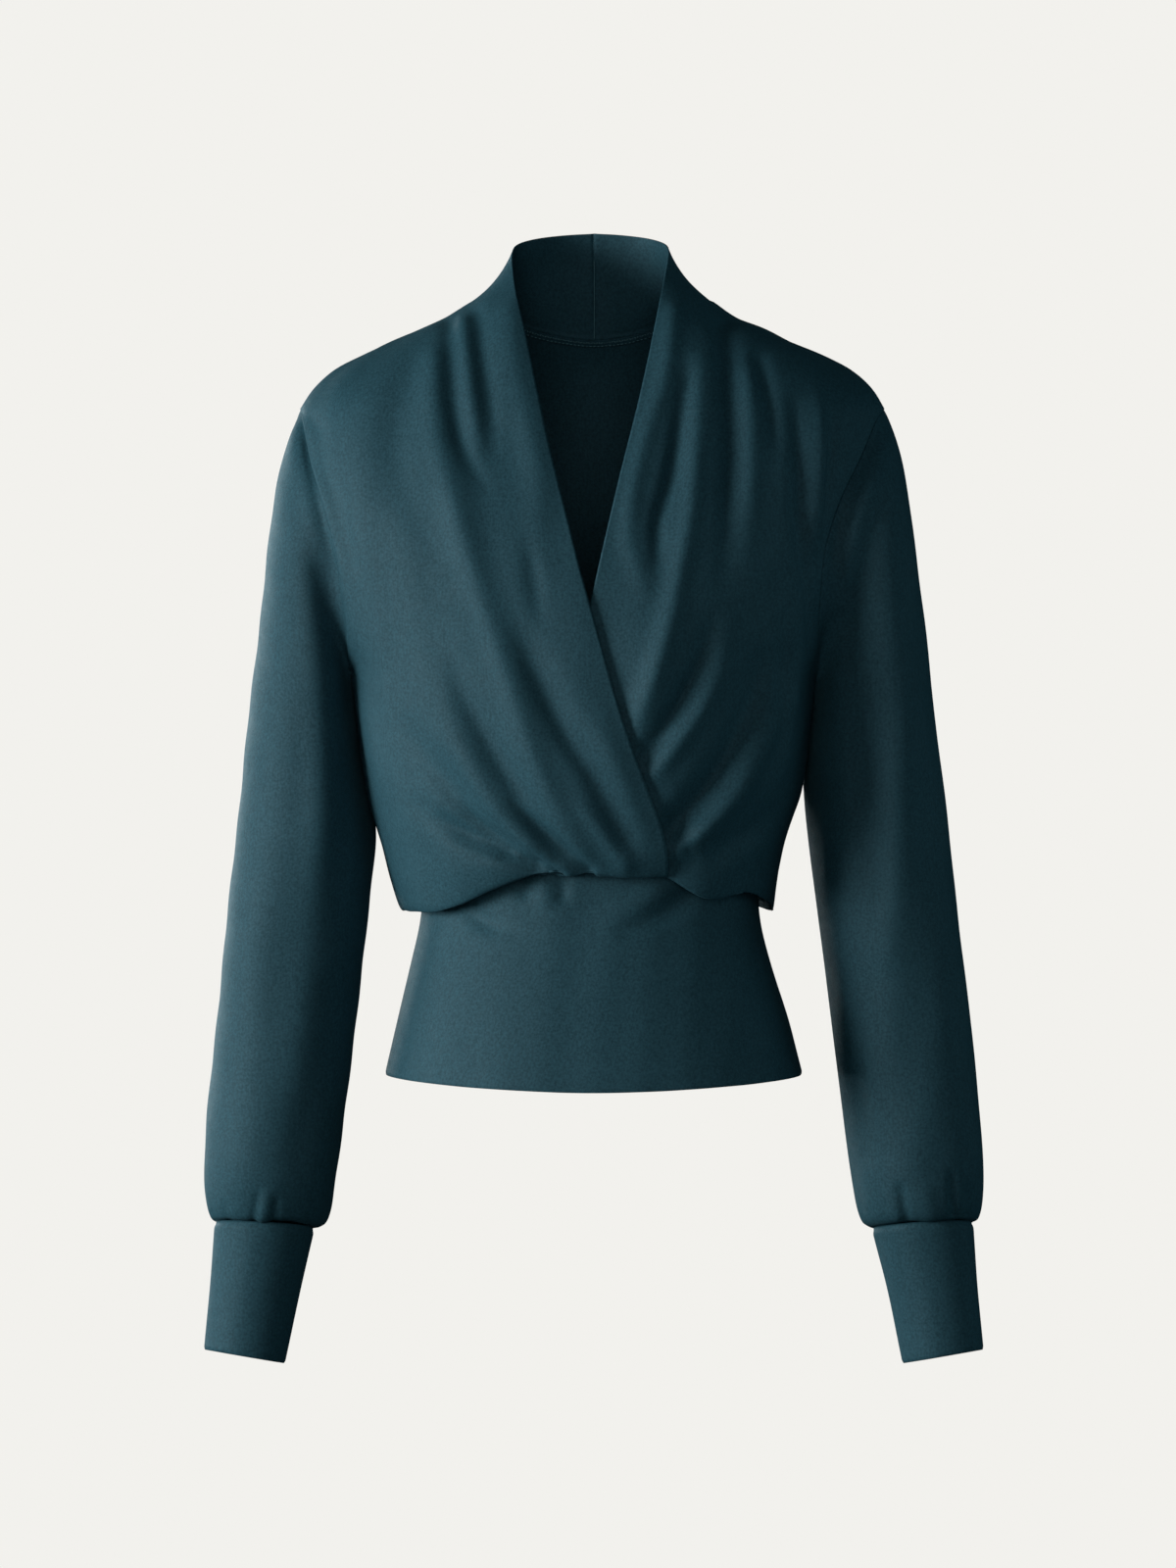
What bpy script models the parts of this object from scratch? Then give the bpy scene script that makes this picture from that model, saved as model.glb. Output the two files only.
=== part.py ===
"""A women's wrap top in plain jersey, hollow, as it hangs when it is worn.

Metres, +Z up, front towards -Y, the wearer's right at -X. The origin lies in the middle of the neck,
5 mm below the centre of the back neck seam.

Every cloth piece is an open surface that Solidify thickens inwards. The bodice is a stack of levels,
from the waist seam over the armholes, shoulder points and neck points to the centre back of the
collar. At each level a section runs from the sewn outer boundary to the wrap edge (fronts) or to the
centre back (back) as part of a superellipse.
"""

from collections import namedtuple

import bmesh
import bpy
import numpy as np
from mathutils.bvhtree import BVHTree

# ---------------------------------------------------------------- driving sizes
CLOTH_WALL = 0.0012          # jersey of bodice and sleeves
DOUBLE_WALL = 0.0016         # waistband and cuffs, folded double
SEAM_GAP = 0.0008            # between two pieces at their seam
NECK_DROP = 0.08             # of a level, between the back and the collar's foot
ROUNDNESS = 2.25             # exponent of the bodice's superellipse sections
SECTION_FALL = 1.6           # how soon a section leaves the height of its outer end
SLEEVE_ROUNDNESS = 2.15

LAP_GAP = 0.0022             # between the two fronts where they lap
LAP_REACH = 0.007            # how far around a point the upper front is felt for
COVER_REACH = 0.018          # how far past the wrap edge the lower front's end is still held up
LAP_PROBES = ((0, 0), (1, 0), (-1, 0), (0, -1), (0, 1))
LAP_LIFT = 0.0018            # of the lower front's end above the waist seam, under the upper one
LAP_ROW_RISE = 0.0015        # between its rows there, so that they stay apart
LAP_SPREAD = 6               # rounds of spreading the push to its neighbours
LAP_DEEPEST_Y = -0.060       # the fronts lap only forward of this

# Steps of the grids. Pieces that meet have corners at the same places along their seam.
WAIST_FOLD_STEPS = 6         # from the waist seam to just above the fold
SIDE_STEPS = 6
ARMHOLE_STEPS = 8
SHOULDER_STEPS = 6
NECK_STEPS = 8               # half of the back neck seam
FRONT_COLUMNS = 17
BACK_COLUMNS = 2 * NECK_STEPS + 1
SLEEVE_COLUMNS, SLEEVE_ROWS = 2 * ARMHOLE_STEPS, 17
CUFF_COLUMNS, CUFF_ROWS = 16, 3
BAND_COLUMNS, BAND_ROWS = 18, 4
SECTION_SAMPLES = 97         # points that a section is measured with before it is spaced evenly
WELD_DISTANCE = 0.00001      # corners nearer than this become one where a tube closes
SHORTEST_NORMAL = 1e-9       # keeps a normal's length off zero

JERSEY = ("jersey", (0.036, 0.083, 0.103), 0.62)
DOUBLED_JERSEY = ("doubled_jersey", (0.040, 0.092, 0.114), 0.64)

RIGHT, LEFT = -1, 1          # the wearer's sides, as the sign of X

# ---------------------------------------------------------------- bodice levels
# The sewn outer boundary of fronts and back at each level, from the waist seam to the neck point.
# right_x, left_x   distances from the middle on the wearer's right and left
# front_y           depth of the fronts' boundary: forward of the side only along the armhole
# widest_y          depth where the section is widest
# back_...          the same places on the back, with the centre back
Outline = namedtuple("Outline", "name right_x left_x front_y widest_y z "
                                "back_right_x back_left_x back_y centre_back_y centre_back_z")
OUTLINES = (
    Outline("waist seam", .1112, .1072, 0, 0, -.3450, .1112, .1072, 0, .0804, -.3450),
    Outline("under fold", .1180, .1130, 0, 0, -.3660, .1180, .1130, 0, .0880, -.3580),
    Outline("fold lip", .1245, .1165, 0, 0, -.3745, .1245, .1165, 0, .0960, -.3640),
    Outline("blouse", .1315, .1190, 0, 0, -.3570, .1315, .1190, 0, .1020, -.3500),
    Outline("full blouse", .1385, .1235, 0, 0, -.3300, .1385, .1235, 0, .1050, -.3250),
    Outline("ribs", .1480, .1340, 0, 0, -.2950, .1480, .1340, 0, .1040, -.2910),
    Outline("underarm", .1540, .1400, 0, 0, -.2600, .1540, .1400, 0, .1020, -.2580),
    Outline("armpit", .1575, .1440, 0, 0, -.2280, .1575, .1440, 0, .1005, -.2260),
    Outline("armhole 1", .1590, .1450, -.030, 0, -.2110, .1600, .1470, .024, .0998, -.2080),
    Outline("armhole 2", .1605, .1455, -.047, 0, -.1830, .1630, .1510, .038, .0990, -.1780),
    Outline("armhole 3", .1650, .1480, -.055, 0, -.1470, .1680, .1580, .046, .0985, -.1400),
    Outline("armhole 4", .1735, .1570, -.052, 0, -.1140, .1755, .1680, .046, .0960, -.1060),
    Outline("armhole 5", .1840, .1730, -.036, 0, -.0800, .1850, .1800, .032, .0920, -.0740),
    Outline("armhole 6", .1895, .1840, -.0200, 0, -.0545, .1895, .1865, .0185, .0883, -.0530),
    Outline("shoulder point", .1915, .1895, 0, 0, -.0465, .1915, .1895, 0, .0870, -.0460),
    Outline("shoulder 1", .1838, .1825, .002, .002, -.0345, .1838, .1825, .002, .0845, -.0350),
    Outline("shoulder 2", .1700, .1690, .004, .004, -.0213, .1700, .1690, .004, .0815, -.0250),
    Outline("shoulder 3", .1480, .1460, .006, .006, -.0093, .1480, .1460, .006, .0770, -.0155),
    Outline("shoulder 4", .1200, .1155, .008, .008, .0033, .1200, .1155, .008, .0720, -.0070),
    Outline("shoulder 5", .0960, .0920, .010, .010, .0150, .0960, .0920, .010, .0670, -.0005),
    Outline("neck point", .0800, .0785, .0115, .0115, .0248, .0800, .0785, .0115, .0620, .0050),
)
OUTLINE_NAMES = [outline.name for outline in OUTLINES]
BLOUSE = OUTLINE_NAMES.index("blouse")
ARMPIT = OUTLINE_NAMES.index("armpit")
SHOULDER_POINT = OUTLINE_NAMES.index("shoulder point")
NECK_POINT = OUTLINE_NAMES.index("neck point")

# The wrap edge at the same levels and on round the collar to the centre back, whose foot follows the
# back neck seam. Below the crossing y and z are the centre front's.
# over_x, under_x   the edge of the upper and of the lower front
# roundness         exponent of the superellipse section that ends here
# fall              how late the section leaves the height of its outer end
# scallop           how much the section's lower rim is held up in the middle and hangs at the sides
Edge = namedtuple("Edge", "over_x under_x y z roundness fall scallop")
EDGES = (
    Edge(.0455, -.0450, -.0848, -.3450, 2.25, 1.6, 0.0),
    Edge(.0460, -.0450, -.0905, -.3495, 2.25, 1.6, 0.8),
    Edge(.0465, -.0450, -.0960, -.3505, 2.25, 1.6, 1.0),
    Edge(.0470, -.0450, -.1010, -.3430, 2.25, 1.6, 0.9),
    Edge(.0450, -.0420, -.1055, -.3250, 2.25, 1.6, 0.4),
    Edge(.0323, -.0300, -.1095, -.2910, 2.25, 1.6, 0.0),
    Edge(.0205, -.0190, -.1115, -.2580, 2.25, 1.6, 0.0),
    Edge(.0100, -.0100, -.1115, -.2230, 2.25, 1.6, 0.0),
    Edge(.0050, -.0075, -.1100, -.2050, 2.25, 1.6, 0.0),
    Edge(-.0020, -.0030, -.1075, -.1800, 2.25, 1.6, 0.0),
    Edge(-.0105, .0035, -.1025, -.1500, 2.25, 1.6, 0.0),
    Edge(-.0165, .0095, -.0970, -.1240, 2.25, 1.6, 0.0),
    Edge(-.0235, .0158, -.0895, -.0970, 2.25, 1.6, 0.0),
    Edge(-.0300, .0225, -.0810, -.0700, 2.20, 1.6, 0.0),
    Edge(-.0326, .0259, -.0770, -.0565, 2.16, 1.52, 0.0),
    Edge(-.0335, .0270, -.0755, -.0520, 2.15, 1.5, 0.0),
    Edge(-.0375, .0312, -.0690, -.0340, 2.10, 1.4, 0.0),
    Edge(-.0415, .0355, -.0610, -.0140, 2.00, 1.3, 0.0),
    Edge(-.0454, .0392, -.0520, .0045, 1.85, 1.2, 0.0),
    Edge(-.0505, .0432, -.0360, .0255, 1.60, 1.1, 0.0),
    Edge(-.0535, .0455, -.0120, .0475, 1.30, 0.9, 0.0),
    Edge(-.0522, .0462, .0090, .0600, 1.20, 0.9, 0.0),
    Edge(-.0440, .0405, .0280, .0665, 1.20, 0.9, 0.0),
    Edge(-.0245, .0240, .0430, .0715, 1.20, 0.9, 0.0),
    Edge(-.0004, .0004, .0480, .0735, 1.20, 0.9, 0.0),
)
COLLAR_LEVELS = len(EDGES) - len(OUTLINES)
CORNERS = (0, ARMPIT, SHOULDER_POINT, NECK_POINT)
SCALLOP_FROM, SCALLOP_SPREAD = 0.30, 0.55

# ---------------------------------------------------------------- sleeves, cuffs and waistband
# Rings of the sleeve, from just outside the armhole to the cuff seam: the outermost and innermost
# points seen from the front, the depth of the middle, half the depth, and how steeply the ring rises
# towards the front. The left sleeve's outer and inner lines lie off by left_outer and left_inner.
Ring = namedtuple("Ring", "outer_x outer_z inner_x inner_z left_outer left_inner "
                          "middle_y half_depth tilt")
SLEEVE_RINGS = (
    Ring(.2015, -.0720, .1595, -.2400, -.0020, -.0140, .001, .0600, 0),
    Ring(.2090, -.1080, .1575, -.2580, -.0030, -.0135, .003, .0620, 0),
    Ring(.2150, -.1550, .1535, -.2800, -.0030, -.0120, .005, .0610, 0),
    Ring(.2205, -.2050, .1487, -.3030, -.0020, -.0070, .007, .0585, 0),
    Ring(.2257, -.2500, .1445, -.3250, -.0020, -.0025, .008, .0555, 0),
    Ring(.2302, -.2920, .1450, -.3480, -.0018, -.0020, .008, .0525, 0),
    Ring(.2374, -.3550, .1488, -.3850, -.0015, -.0020, .007, .0495, 0),
    Ring(.2440, -.4200, .1540, -.4300, -.0012, 0, .004, .0475, .02),
    Ring(.2495, -.4750, .1590, -.4780, -.0010, 0, .000, .0465, .05),
    Ring(.2533, -.5200, .1640, -.5200, 0, 0, -.004, .0460, .08),
    Ring(.2541, -.5480, .1682, -.5490, 0, 0, -.006, .0445, .10),
    Ring(.2525, -.5660, .1712, -.5670, 0, 0, -.007, .0415, .12),
    Ring(.2500, -.5740, .1750, -.5770, 0, 0, -.008, .0375, .14),
    Ring(.2472, -.5772, .1815, -.5812, 0, 0, -.008, .0325, .15),
)
CUFF_RINGS = (
    Ring(.2470, -.57755, .1817, -.58155, 0, 0, -.008, .0323, .15),
    Ring(.2490, -.6120, .1920, -.6250, 0, 0, -.010, .0292, .13),
    Ring(.2534, -.6590, .2010, -.6680, 0, 0, -.013, .0272, .12),
)

BandRing = namedtuple("BandRing", "right_x left_x side_z front_y front_z back_y back_z")
WAISTBAND_RINGS = (
    BandRing(.1104, .1064, -.3455, -.0838, -.3455, .0796, -.3455),
    BandRing(.1126, .1078, -.3760, -.0855, -.3780, .0820, -.3770),
    BandRing(.1200, .1160, -.4100, -.0915, -.4140, .0880, -.4120),
    BandRing(.1275, .1262, -.4420, -.0980, -.4470, .0945, -.4440),
    BandRing(.1363, .1363, -.4800, -.1050, -.4865, .1015, -.4830),
)

# ---------------------------------------------------------------- largest folds
# A fold runs along a path in the front view. Its depth is positive for a ridge and negative for a
# trough, and start and finish say how much of it is left at the two ends of the path.
Fold = namedtuple("Fold", "piece depth width start finish path")
FOLDS = (
    Fold("front_right", -.0070, .0120, .7, .1,
         ((-.083, .008), (-.096, -.034), (-.092, -.081), (-.074, -.122), (-.064, -.150))),
    Fold("front_right", .0050, .0130, .5, .3,
         ((-.070, .010), (-.056, -.031), (-.045, -.081), (-.040, -.120))),
    Fold("front_right", -.0060, .0130, .1, .8,
         ((-.056, -.190), (-.037, -.225), (-.013, -.266), (.004, -.315))),
    Fold("front_right", -.0065, .0120, .1, 1.0,
         ((-.098, -.205), (-.087, -.241), (-.070, -.270), (-.050, -.294), (-.028, -.325))),
    Fold("front_right", -.0060, .0120, .6, .9,
         ((-.122, -.300), (-.093, -.322), (-.067, -.338), (-.050, -.348))),
    Fold("front_left", .0050, .0110, .6, .3,
         ((.063, .000), (.061, -.056), (.051, -.089), (.040, -.140))),
    Fold("front_left", -.0060, .0110, .7, .2,
         ((.076, .004), (.077, -.048), (.070, -.097), (.066, -.150))),
    Fold("front_left", .0045, .0120, .4, .3,
         ((.094, -.020), (.094, -.064), (.089, -.097), (.084, -.140))),
    Fold("front_left", -.0060, .0130, .3, .5,
         ((.129, -.054), (.128, -.097), (.127, -.181))),
    Fold("front_left", -.0080, .0130, .2, .7,
         ((.104, -.205), (.085, -.236), (.061, -.266), (.048, -.292))),
    Fold("front_left", .0040, .0110, .2, .4,
         ((.102, -.261), (.092, -.286), (.074, -.307), (.058, -.320))),
    Fold("back", -.0055, .0150, .3, .7,
         ((-.085, -.200), (-.078, -.250), (-.060, -.300), (-.050, -.345))),
    Fold("back", -.0055, .0150, .2, .8,
         ((.080, -.190), (.082, -.250), (.066, -.300), (.058, -.345))),
    Fold("back", -.0045, .0150, .2, .8,
         ((.006, -.230), (.002, -.280), (-.006, -.340))),
)
FOLD_SAMPLES = 40
FOLD_SWELL = 0.6             # how much stronger a fold is in the middle of its path
FADE_AT_WAIST = 3.0          # levels over which folds grow above the waist seam
FADE_AT_SIDE = 0.14          # share of a piece's width over which they grow from its sewn sides


def smooth_column(values, at):
    """Read a column of a table between its rows, with a curve that never overshoots them."""
    values = np.asarray(values, float)
    rises = np.diff(values)
    slopes = np.concatenate(([rises[0]], np.zeros(len(values) - 2), [rises[-1]]))
    same_way = rises[:-1] * rises[1:] > 0
    product = 2 * rises[:-1] * rises[1:]
    slopes[1:-1] = np.where(same_way, product / np.where(same_way, rises[:-1] + rises[1:], 1), 0)
    row = np.clip(np.floor(at).astype(int), 0, len(values) - 2)
    part = np.asarray(at) - row
    rest = 1 - part
    return (values[row] * rest ** 2 * (1 + 2 * part)
            + values[row + 1] * part ** 2 * (1 + 2 * rest)
            + (slopes[row] * rest - slopes[row + 1] * part) * part * rest)


def cornered_column(values, at):
    """Read a column of the outer boundary, which may turn sharply at the corners."""
    at = np.asarray(at, float)
    result = np.zeros_like(at)
    for first, last in zip(CORNERS, CORNERS[1:]):
        inside = (at >= first) & (at <= last)
        result[inside] = smooth_column(values[first:last + 1], at[inside] - first)
    return result


def outline_column(name, at):
    """Read a named column of the outer boundary."""
    return cornered_column([getattr(outline, name) for outline in OUTLINES], at)


def edge_column(name, at):
    """Read a named column of the wrap edge."""
    return smooth_column([getattr(edge, name) for edge in EDGES], at)


def power(base, exponent):
    """A power that keeps the sign of its base."""
    return np.sign(base) * np.abs(base) ** exponent


def soft_step(value):
    """Rise from 0 to 1 with level ends."""
    value = np.clip(value, 0, 1)
    return value * value * (3 - 2 * value)


def measured(points):
    """The length along each row of points up to every point."""
    steps = np.linalg.norm(np.diff(points, axis=1), axis=2)
    return np.concatenate((np.zeros((len(steps), 1)), np.cumsum(steps, axis=1)), axis=1)


def spaced(points, shares, trim):
    """The same rows with points at the given shares of their length, less trim at the start."""
    rows = []
    for row, length in zip(points, measured(points)):
        along = trim + shares * (length[-1] - trim)
        rows.append(np.stack([np.interp(along, length, row[:, axis]) for axis in range(3)], axis=1))
    return np.array(rows)


def sections(start, end, widest_y, far_x, edge_x, roundness, fall, scallop):
    """Superellipse sections from start towards end, finely sampled.

    start and end hold rows of x, y and z. Where the edge lies past the middle, the section goes on
    along the other side, which is far_x wide, up to edge_x.
    """
    column = (slice(None), None)
    deep = np.clip(power((start[1] - widest_y) / (end[1] - widest_y), roundness / 2), 0, 1)
    first_turn = np.arcsin(deep)
    wide = power(np.cos(first_turn), 2 / roundness)
    half_width = (start[0] - end[0]) / wide
    past = np.where(edge_x * start[0] < 0, np.abs(edge_x) / far_x, 0) ** (roundness / 2)
    last_turn = np.pi / 2 + np.arcsin(past)
    share = np.linspace(0, 1, SECTION_SAMPLES)
    turn = first_turn[column] + (last_turn - first_turn)[column] * share
    exponent = (2 / roundness)[column]
    across = power(np.cos(turn), exponent)
    forward = power(np.sin(turn), exponent)
    reach = np.where(across >= 0, half_width[column], (np.sign(start[0]) * far_x)[column])
    kept = np.clip(across / wide[column], 0, 1)
    hanging = soft_step((kept - SCALLOP_FROM) / SCALLOP_SPREAD)
    kept = kept ** fall[column] * (1 - scallop[column]) + hanging * scallop[column]
    x = end[0][column] + reach * across
    y = widest_y[column] + (end[1] - widest_y)[column] * forward
    z = end[2][column] + (start[2] - end[2])[column] * kept
    return np.stack((x, y, z), axis=-1)


def side_name(side):
    """The name that a column or a piece of this side has."""
    return "right" if side == RIGHT else "left"


def back_half_grid(side, levels, shares, trim):
    """Half of the back, from its outer boundary to the centre back."""
    levels = np.asarray(levels, float)
    flat = np.zeros(len(levels))
    start = np.array((side * outline_column("back_" + side_name(side) + "_x", levels),
                      outline_column("back_y", levels), outline_column("z", levels)))
    end = np.array((flat, outline_column("centre_back_y", levels),
                    outline_column("centre_back_z", levels)))
    widest_y = outline_column("widest_y", levels)
    points = sections(start, end, widest_y, flat + 1, flat, flat + ROUNDNESS, flat + SECTION_FALL, flat)
    return spaced(points, shares, trim)


def back_grid(levels, shares, trim):
    """The whole back, from the wearer's right to the left."""
    right_half = back_half_grid(RIGHT, levels, np.minimum(shares, 0.5) * 2, trim)
    left_half = back_half_grid(LEFT, levels, np.minimum(1 - shares, 0.5) * 2, trim)
    return np.where((shares <= 0.5)[None, :, None], right_half, left_half)


def front_boundary(side, levels):
    """The sewn boundary of a front: side seam, armhole, shoulder seam and the collar's foot."""
    body = np.minimum(levels, NECK_POINT)
    boundary = np.array((side * outline_column(side_name(side) + "_x", body),
                         outline_column("front_y", body), outline_column("z", body)))
    round_neck = np.maximum(levels - NECK_POINT, 0) / COLLAR_LEVELS
    neck_seam = back_half_grid(side, [NECK_POINT], round_neck, 0)[0].T
    return np.where(levels > NECK_POINT, neck_seam, boundary)


def front_grid(side, levels, shares, trim):
    """The middle surface of one front with its half of the collar, before its folds."""
    start = front_boundary(side, levels)
    edge_x = edge_column("over_x" if side == RIGHT else "under_x", levels)
    end_x = np.where(edge_x * side > 0, edge_x, 0)
    end = np.array((end_x, edge_column("y", levels), edge_column("z", levels)))
    body = np.minimum(levels, NECK_POINT)
    widest_y = np.where(levels > NECK_POINT, start[1], outline_column("widest_y", body))
    far_x = outline_column(side_name(-side) + "_x", body)
    points = sections(start, end, widest_y, far_x, edge_x, edge_column("roundness", levels),
                      edge_column("fall", levels), edge_column("scallop", levels))
    grid = spaced(points, shares, trim)
    collar = (levels > NECK_POINT)[:, None]
    grid[:, :, 0] = np.where(collar, side * np.maximum(side * grid[:, :, 0], SEAM_GAP / 2),
                             grid[:, :, 0])
    return grid


def armhole_loop(side, count):
    """The armhole seam: from the shoulder point down the front, and from the armpit up the back."""
    down = np.linspace(SHOULDER_POINT, ARMPIT, count // 2 + 1)
    up = down[::-1]
    front = front_grid(side, down, np.zeros(1), 0)[:-1, 0]
    rear = back_half_grid(side, up, np.zeros(1), 0)[:-1, 0]
    return np.concatenate((front, rear))


def ring_points(ring, side, count):
    """A sleeve or cuff ring, from its outermost point over the front to the inner line and back."""
    turn = np.linspace(0, 2 * np.pi, count, endpoint=False)
    outer_x = ring.outer_x + (ring.left_outer if side == LEFT else 0)
    inner_x = ring.inner_x + (ring.left_inner if side == LEFT else 0)
    outward = power(np.cos(turn), 2 / SLEEVE_ROUNDNESS)
    forward = ring.half_depth * power(np.sin(turn), 2 / SLEEVE_ROUNDNESS)
    x = side * ((outer_x + inner_x) / 2 + (outer_x - inner_x) / 2 * outward)
    z = (ring.outer_z + ring.inner_z) / 2 + (ring.outer_z - ring.inner_z) / 2 * outward
    return np.stack((x, ring.middle_y - forward, z + ring.tilt * forward), axis=1)


def tube_grid(rings, rows):
    """A tube through rings of equally many points."""
    rings = np.array(rings)
    at = np.linspace(0, len(rings) - 1, rows)
    grid = np.zeros((rows,) + rings.shape[1:])
    for column in range(rings.shape[1]):
        for axis in range(3):
            grid[:, column, axis] = smooth_column(rings[:, column, axis], at)
    return grid


def sleeve_grid(side):
    """A sleeve, from the armhole seam to the cuff seam."""
    armhole = armhole_loop(side, SLEEVE_COLUMNS)
    rings = [ring_points(ring, side, SLEEVE_COLUMNS) for ring in SLEEVE_RINGS]
    outward = rings[0] - armhole
    armhole = armhole + SEAM_GAP * outward / np.linalg.norm(outward, axis=1)[:, None]
    return tube_grid([armhole] + rings, SLEEVE_ROWS)


def band_grid(facing):
    """Half of the waistband, the front or the back one, from the wearer's right to the left."""
    rows = np.linspace(0, len(WAISTBAND_RINGS) - 1, BAND_ROWS)
    read = {name: smooth_column([getattr(ring, name) for ring in WAISTBAND_RINGS], rows)
            for name in BandRing._fields}
    flat = np.zeros(BAND_ROWS)
    shares = np.linspace(0, 1, BAND_COLUMNS)
    halves = []
    for side, from_side in ((RIGHT, shares), (LEFT, 1 - shares)):
        start = np.array((side * read[side_name(side) + "_x"], flat, read["side_z"]))
        end = np.array((flat, read[facing + "_y"], read[facing + "_z"]))
        points = sections(start, end, flat, flat + 1, flat, flat + ROUNDNESS, flat + SECTION_FALL, flat)
        halves.append(spaced(points, np.minimum(from_side, 0.5) * 2, SEAM_GAP / 2))
    return np.where((shares <= 0.5)[None, :, None], halves[0], halves[1])


def level_rows(with_collar):
    """Level numbers of a grid's rows, from the waist seam to the neck or on to the collar seam."""
    stretches = [(0, BLOUSE, WAIST_FOLD_STEPS), (BLOUSE, ARMPIT, SIDE_STEPS),
                 (ARMPIT, SHOULDER_POINT, ARMHOLE_STEPS), (SHOULDER_POINT, NECK_POINT, SHOULDER_STEPS)]
    if with_collar:
        stretches.append((NECK_POINT, len(EDGES) - 1, NECK_STEPS))
    rows = [np.linspace(first, last, steps, endpoint=False) for first, last, steps in stretches]
    return np.concatenate(rows + [[float(stretches[-1][1])]])


def fold_path(path):
    """A smooth curve through a fold's points, in the front view, with the share along it."""
    at = np.linspace(0, len(path) - 1, FOLD_SAMPLES)
    columns = [smooth_column([point[axis] for point in path], at) for axis in range(2)]
    return np.stack(columns, axis=1), at / (len(path) - 1)


def fold_heights(piece, points):
    """How far each point of a piece is moved out (or in) by the folds."""
    height = np.zeros(points.shape[:2])
    seen = points[:, :, [0, 2]]
    for fold in FOLDS:
        if fold.piece != piece:
            continue
        curve, share = fold_path(fold.path)
        distance = np.linalg.norm(seen[:, :, None, :] - curve[None, None, :, :], axis=3)
        nearest = np.argmin(distance, axis=2)
        nearest_distance = np.min(distance, axis=2)
        strength = fold.start + (fold.finish - fold.start) * share
        strength = np.minimum(1, strength + np.sin(np.pi * share) * FOLD_SWELL)
        height += fold.depth * strength[nearest] * np.exp(-(nearest_distance / fold.width) ** 2)
    return height


def fold_cloth(piece, grid, outward, levels, from_side):
    """Move a grid's points along its normals by the folds of the piece, which die out at its seams.

    from_side is the share of the width between a column and the nearest sewn side.
    """
    strength = np.minimum(levels / FADE_AT_WAIST, 1)[:, None] * soft_step(from_side / FADE_AT_SIDE)
    along = np.gradient(grid, axis=0)
    across = np.gradient(grid, axis=1)
    normal = np.cross(across, along) * outward
    normal /= np.maximum(np.linalg.norm(normal, axis=2), SHORTEST_NORMAL)[:, :, None]
    return grid + normal * (fold_heights(piece, grid) * strength)[:, :, None]


def smoothed_over(values, floor, rounds):
    """Spread a field of pushes to its neighbours, nowhere below the floor."""
    for _ in range(rounds):
        padded = np.pad(values, 1, mode="edge")
        mean = (padded[:-2, 1:-1] + padded[2:, 1:-1] + padded[1:-1, :-2] + padded[1:-1, 2:]) / 4
        values = np.maximum(floor, mean)
    return values


def lay_under(grid, over):
    """Push the lower front back wherever the upper front lies on it, with room between them.

    There it also ends on the waist seam, because only the upper front blouses over the band.
    """
    rows, columns = over.shape[:2]
    corners = over.reshape(-1, 3).tolist()
    faces = [(row * columns + column, row * columns + column + 1,
              (row + 1) * columns + column + 1, (row + 1) * columns + column)
             for row in range(rows - 1) for column in range(columns - 1)]
    tree = BVHTree.FromPolygons(corners, faces)
    laid = grid.copy()
    push = np.zeros(grid.shape[:2])
    for index in np.ndindex(push.shape):
        x, y, z = laid[index]
        if y > LAP_DEEPEST_Y:
            continue
        hits = [tree.ray_cast((x + aside * LAP_REACH, -1, z + above * LAP_REACH), (0, 1, 0))[0]
                for aside, above in LAP_PROBES]
        outer = [place.y for place in hits if place is not None]
        if outer:
            push[index] = max(0, max(outer) + CLOTH_WALL + LAP_GAP - y)
        if tree.ray_cast((x - COVER_REACH, -1, z + LAP_REACH), (0, 1, 0))[0] is not None:
            laid[index][2] = max(z, OUTLINES[0].z + LAP_LIFT + index[0] * LAP_ROW_RISE)
            if index[0] == 0:
                push[index] = CLOTH_WALL + LAP_GAP
    spread = smoothed_over(push, push, LAP_SPREAD)
    spread[:WAIST_FOLD_STEPS] = push[:WAIST_FOLD_STEPS]
    laid[:, :, 1] += spread
    return laid


# ---------------------------------------------------------------- objects
def material(name, colour, roughness):
    """A plain cloth material."""
    made = bpy.data.materials.new(name)
    made.use_nodes = True
    shader = made.node_tree.nodes["Principled BSDF"]
    shader.inputs["Base Color"].default_value = (*colour, 1)
    shader.inputs["Roughness"].default_value = roughness
    shader.inputs["Metallic"].default_value = 0
    return made


def cloth_object(name, grid, wall, finish, collection, closed=False, turned=False):
    """A piece of cloth on a grid of points, thickened inwards.

    A square grid is made and its corners are taken to the points. closed joins the last column of a
    tube to its first, and turned swaps the outer and the inner side.
    """
    if closed:
        grid = np.concatenate((grid, grid[:, :1]), axis=1)
    rows, columns = grid.shape[:2]
    mesh = bpy.data.meshes.new(name)
    net = bmesh.new()
    bmesh.ops.create_grid(net, x_segments=columns - 1, y_segments=rows - 1, size=0.5)
    for vertex in net.verts:
        column = round((vertex.co.x + 0.5) * (columns - 1))
        row = round((vertex.co.y + 0.5) * (rows - 1))
        vertex.co = grid[row, column]
    if closed:
        bmesh.ops.remove_doubles(net, verts=net.verts, dist=WELD_DISTANCE)
    if turned:
        bmesh.ops.reverse_faces(net, faces=net.faces)
    net.to_mesh(mesh)
    net.free()
    mesh.shade_smooth()
    mesh.materials.append(finish)
    made = bpy.data.objects.new(name, mesh)
    collection.objects.link(made)
    shell = made.modifiers.new("wall", "SOLIDIFY")
    shell.thickness = wall
    shell.offset = -1
    return made


def folded_front(side):
    """One front's surface with its folds."""
    levels = level_rows(with_collar=True)
    shares = np.linspace(0, 1, FRONT_COLUMNS)
    grid = front_grid(side, levels, shares, SEAM_GAP / 2)
    return fold_cloth("front_" + side_name(side), grid, -side, levels, shares)


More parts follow.
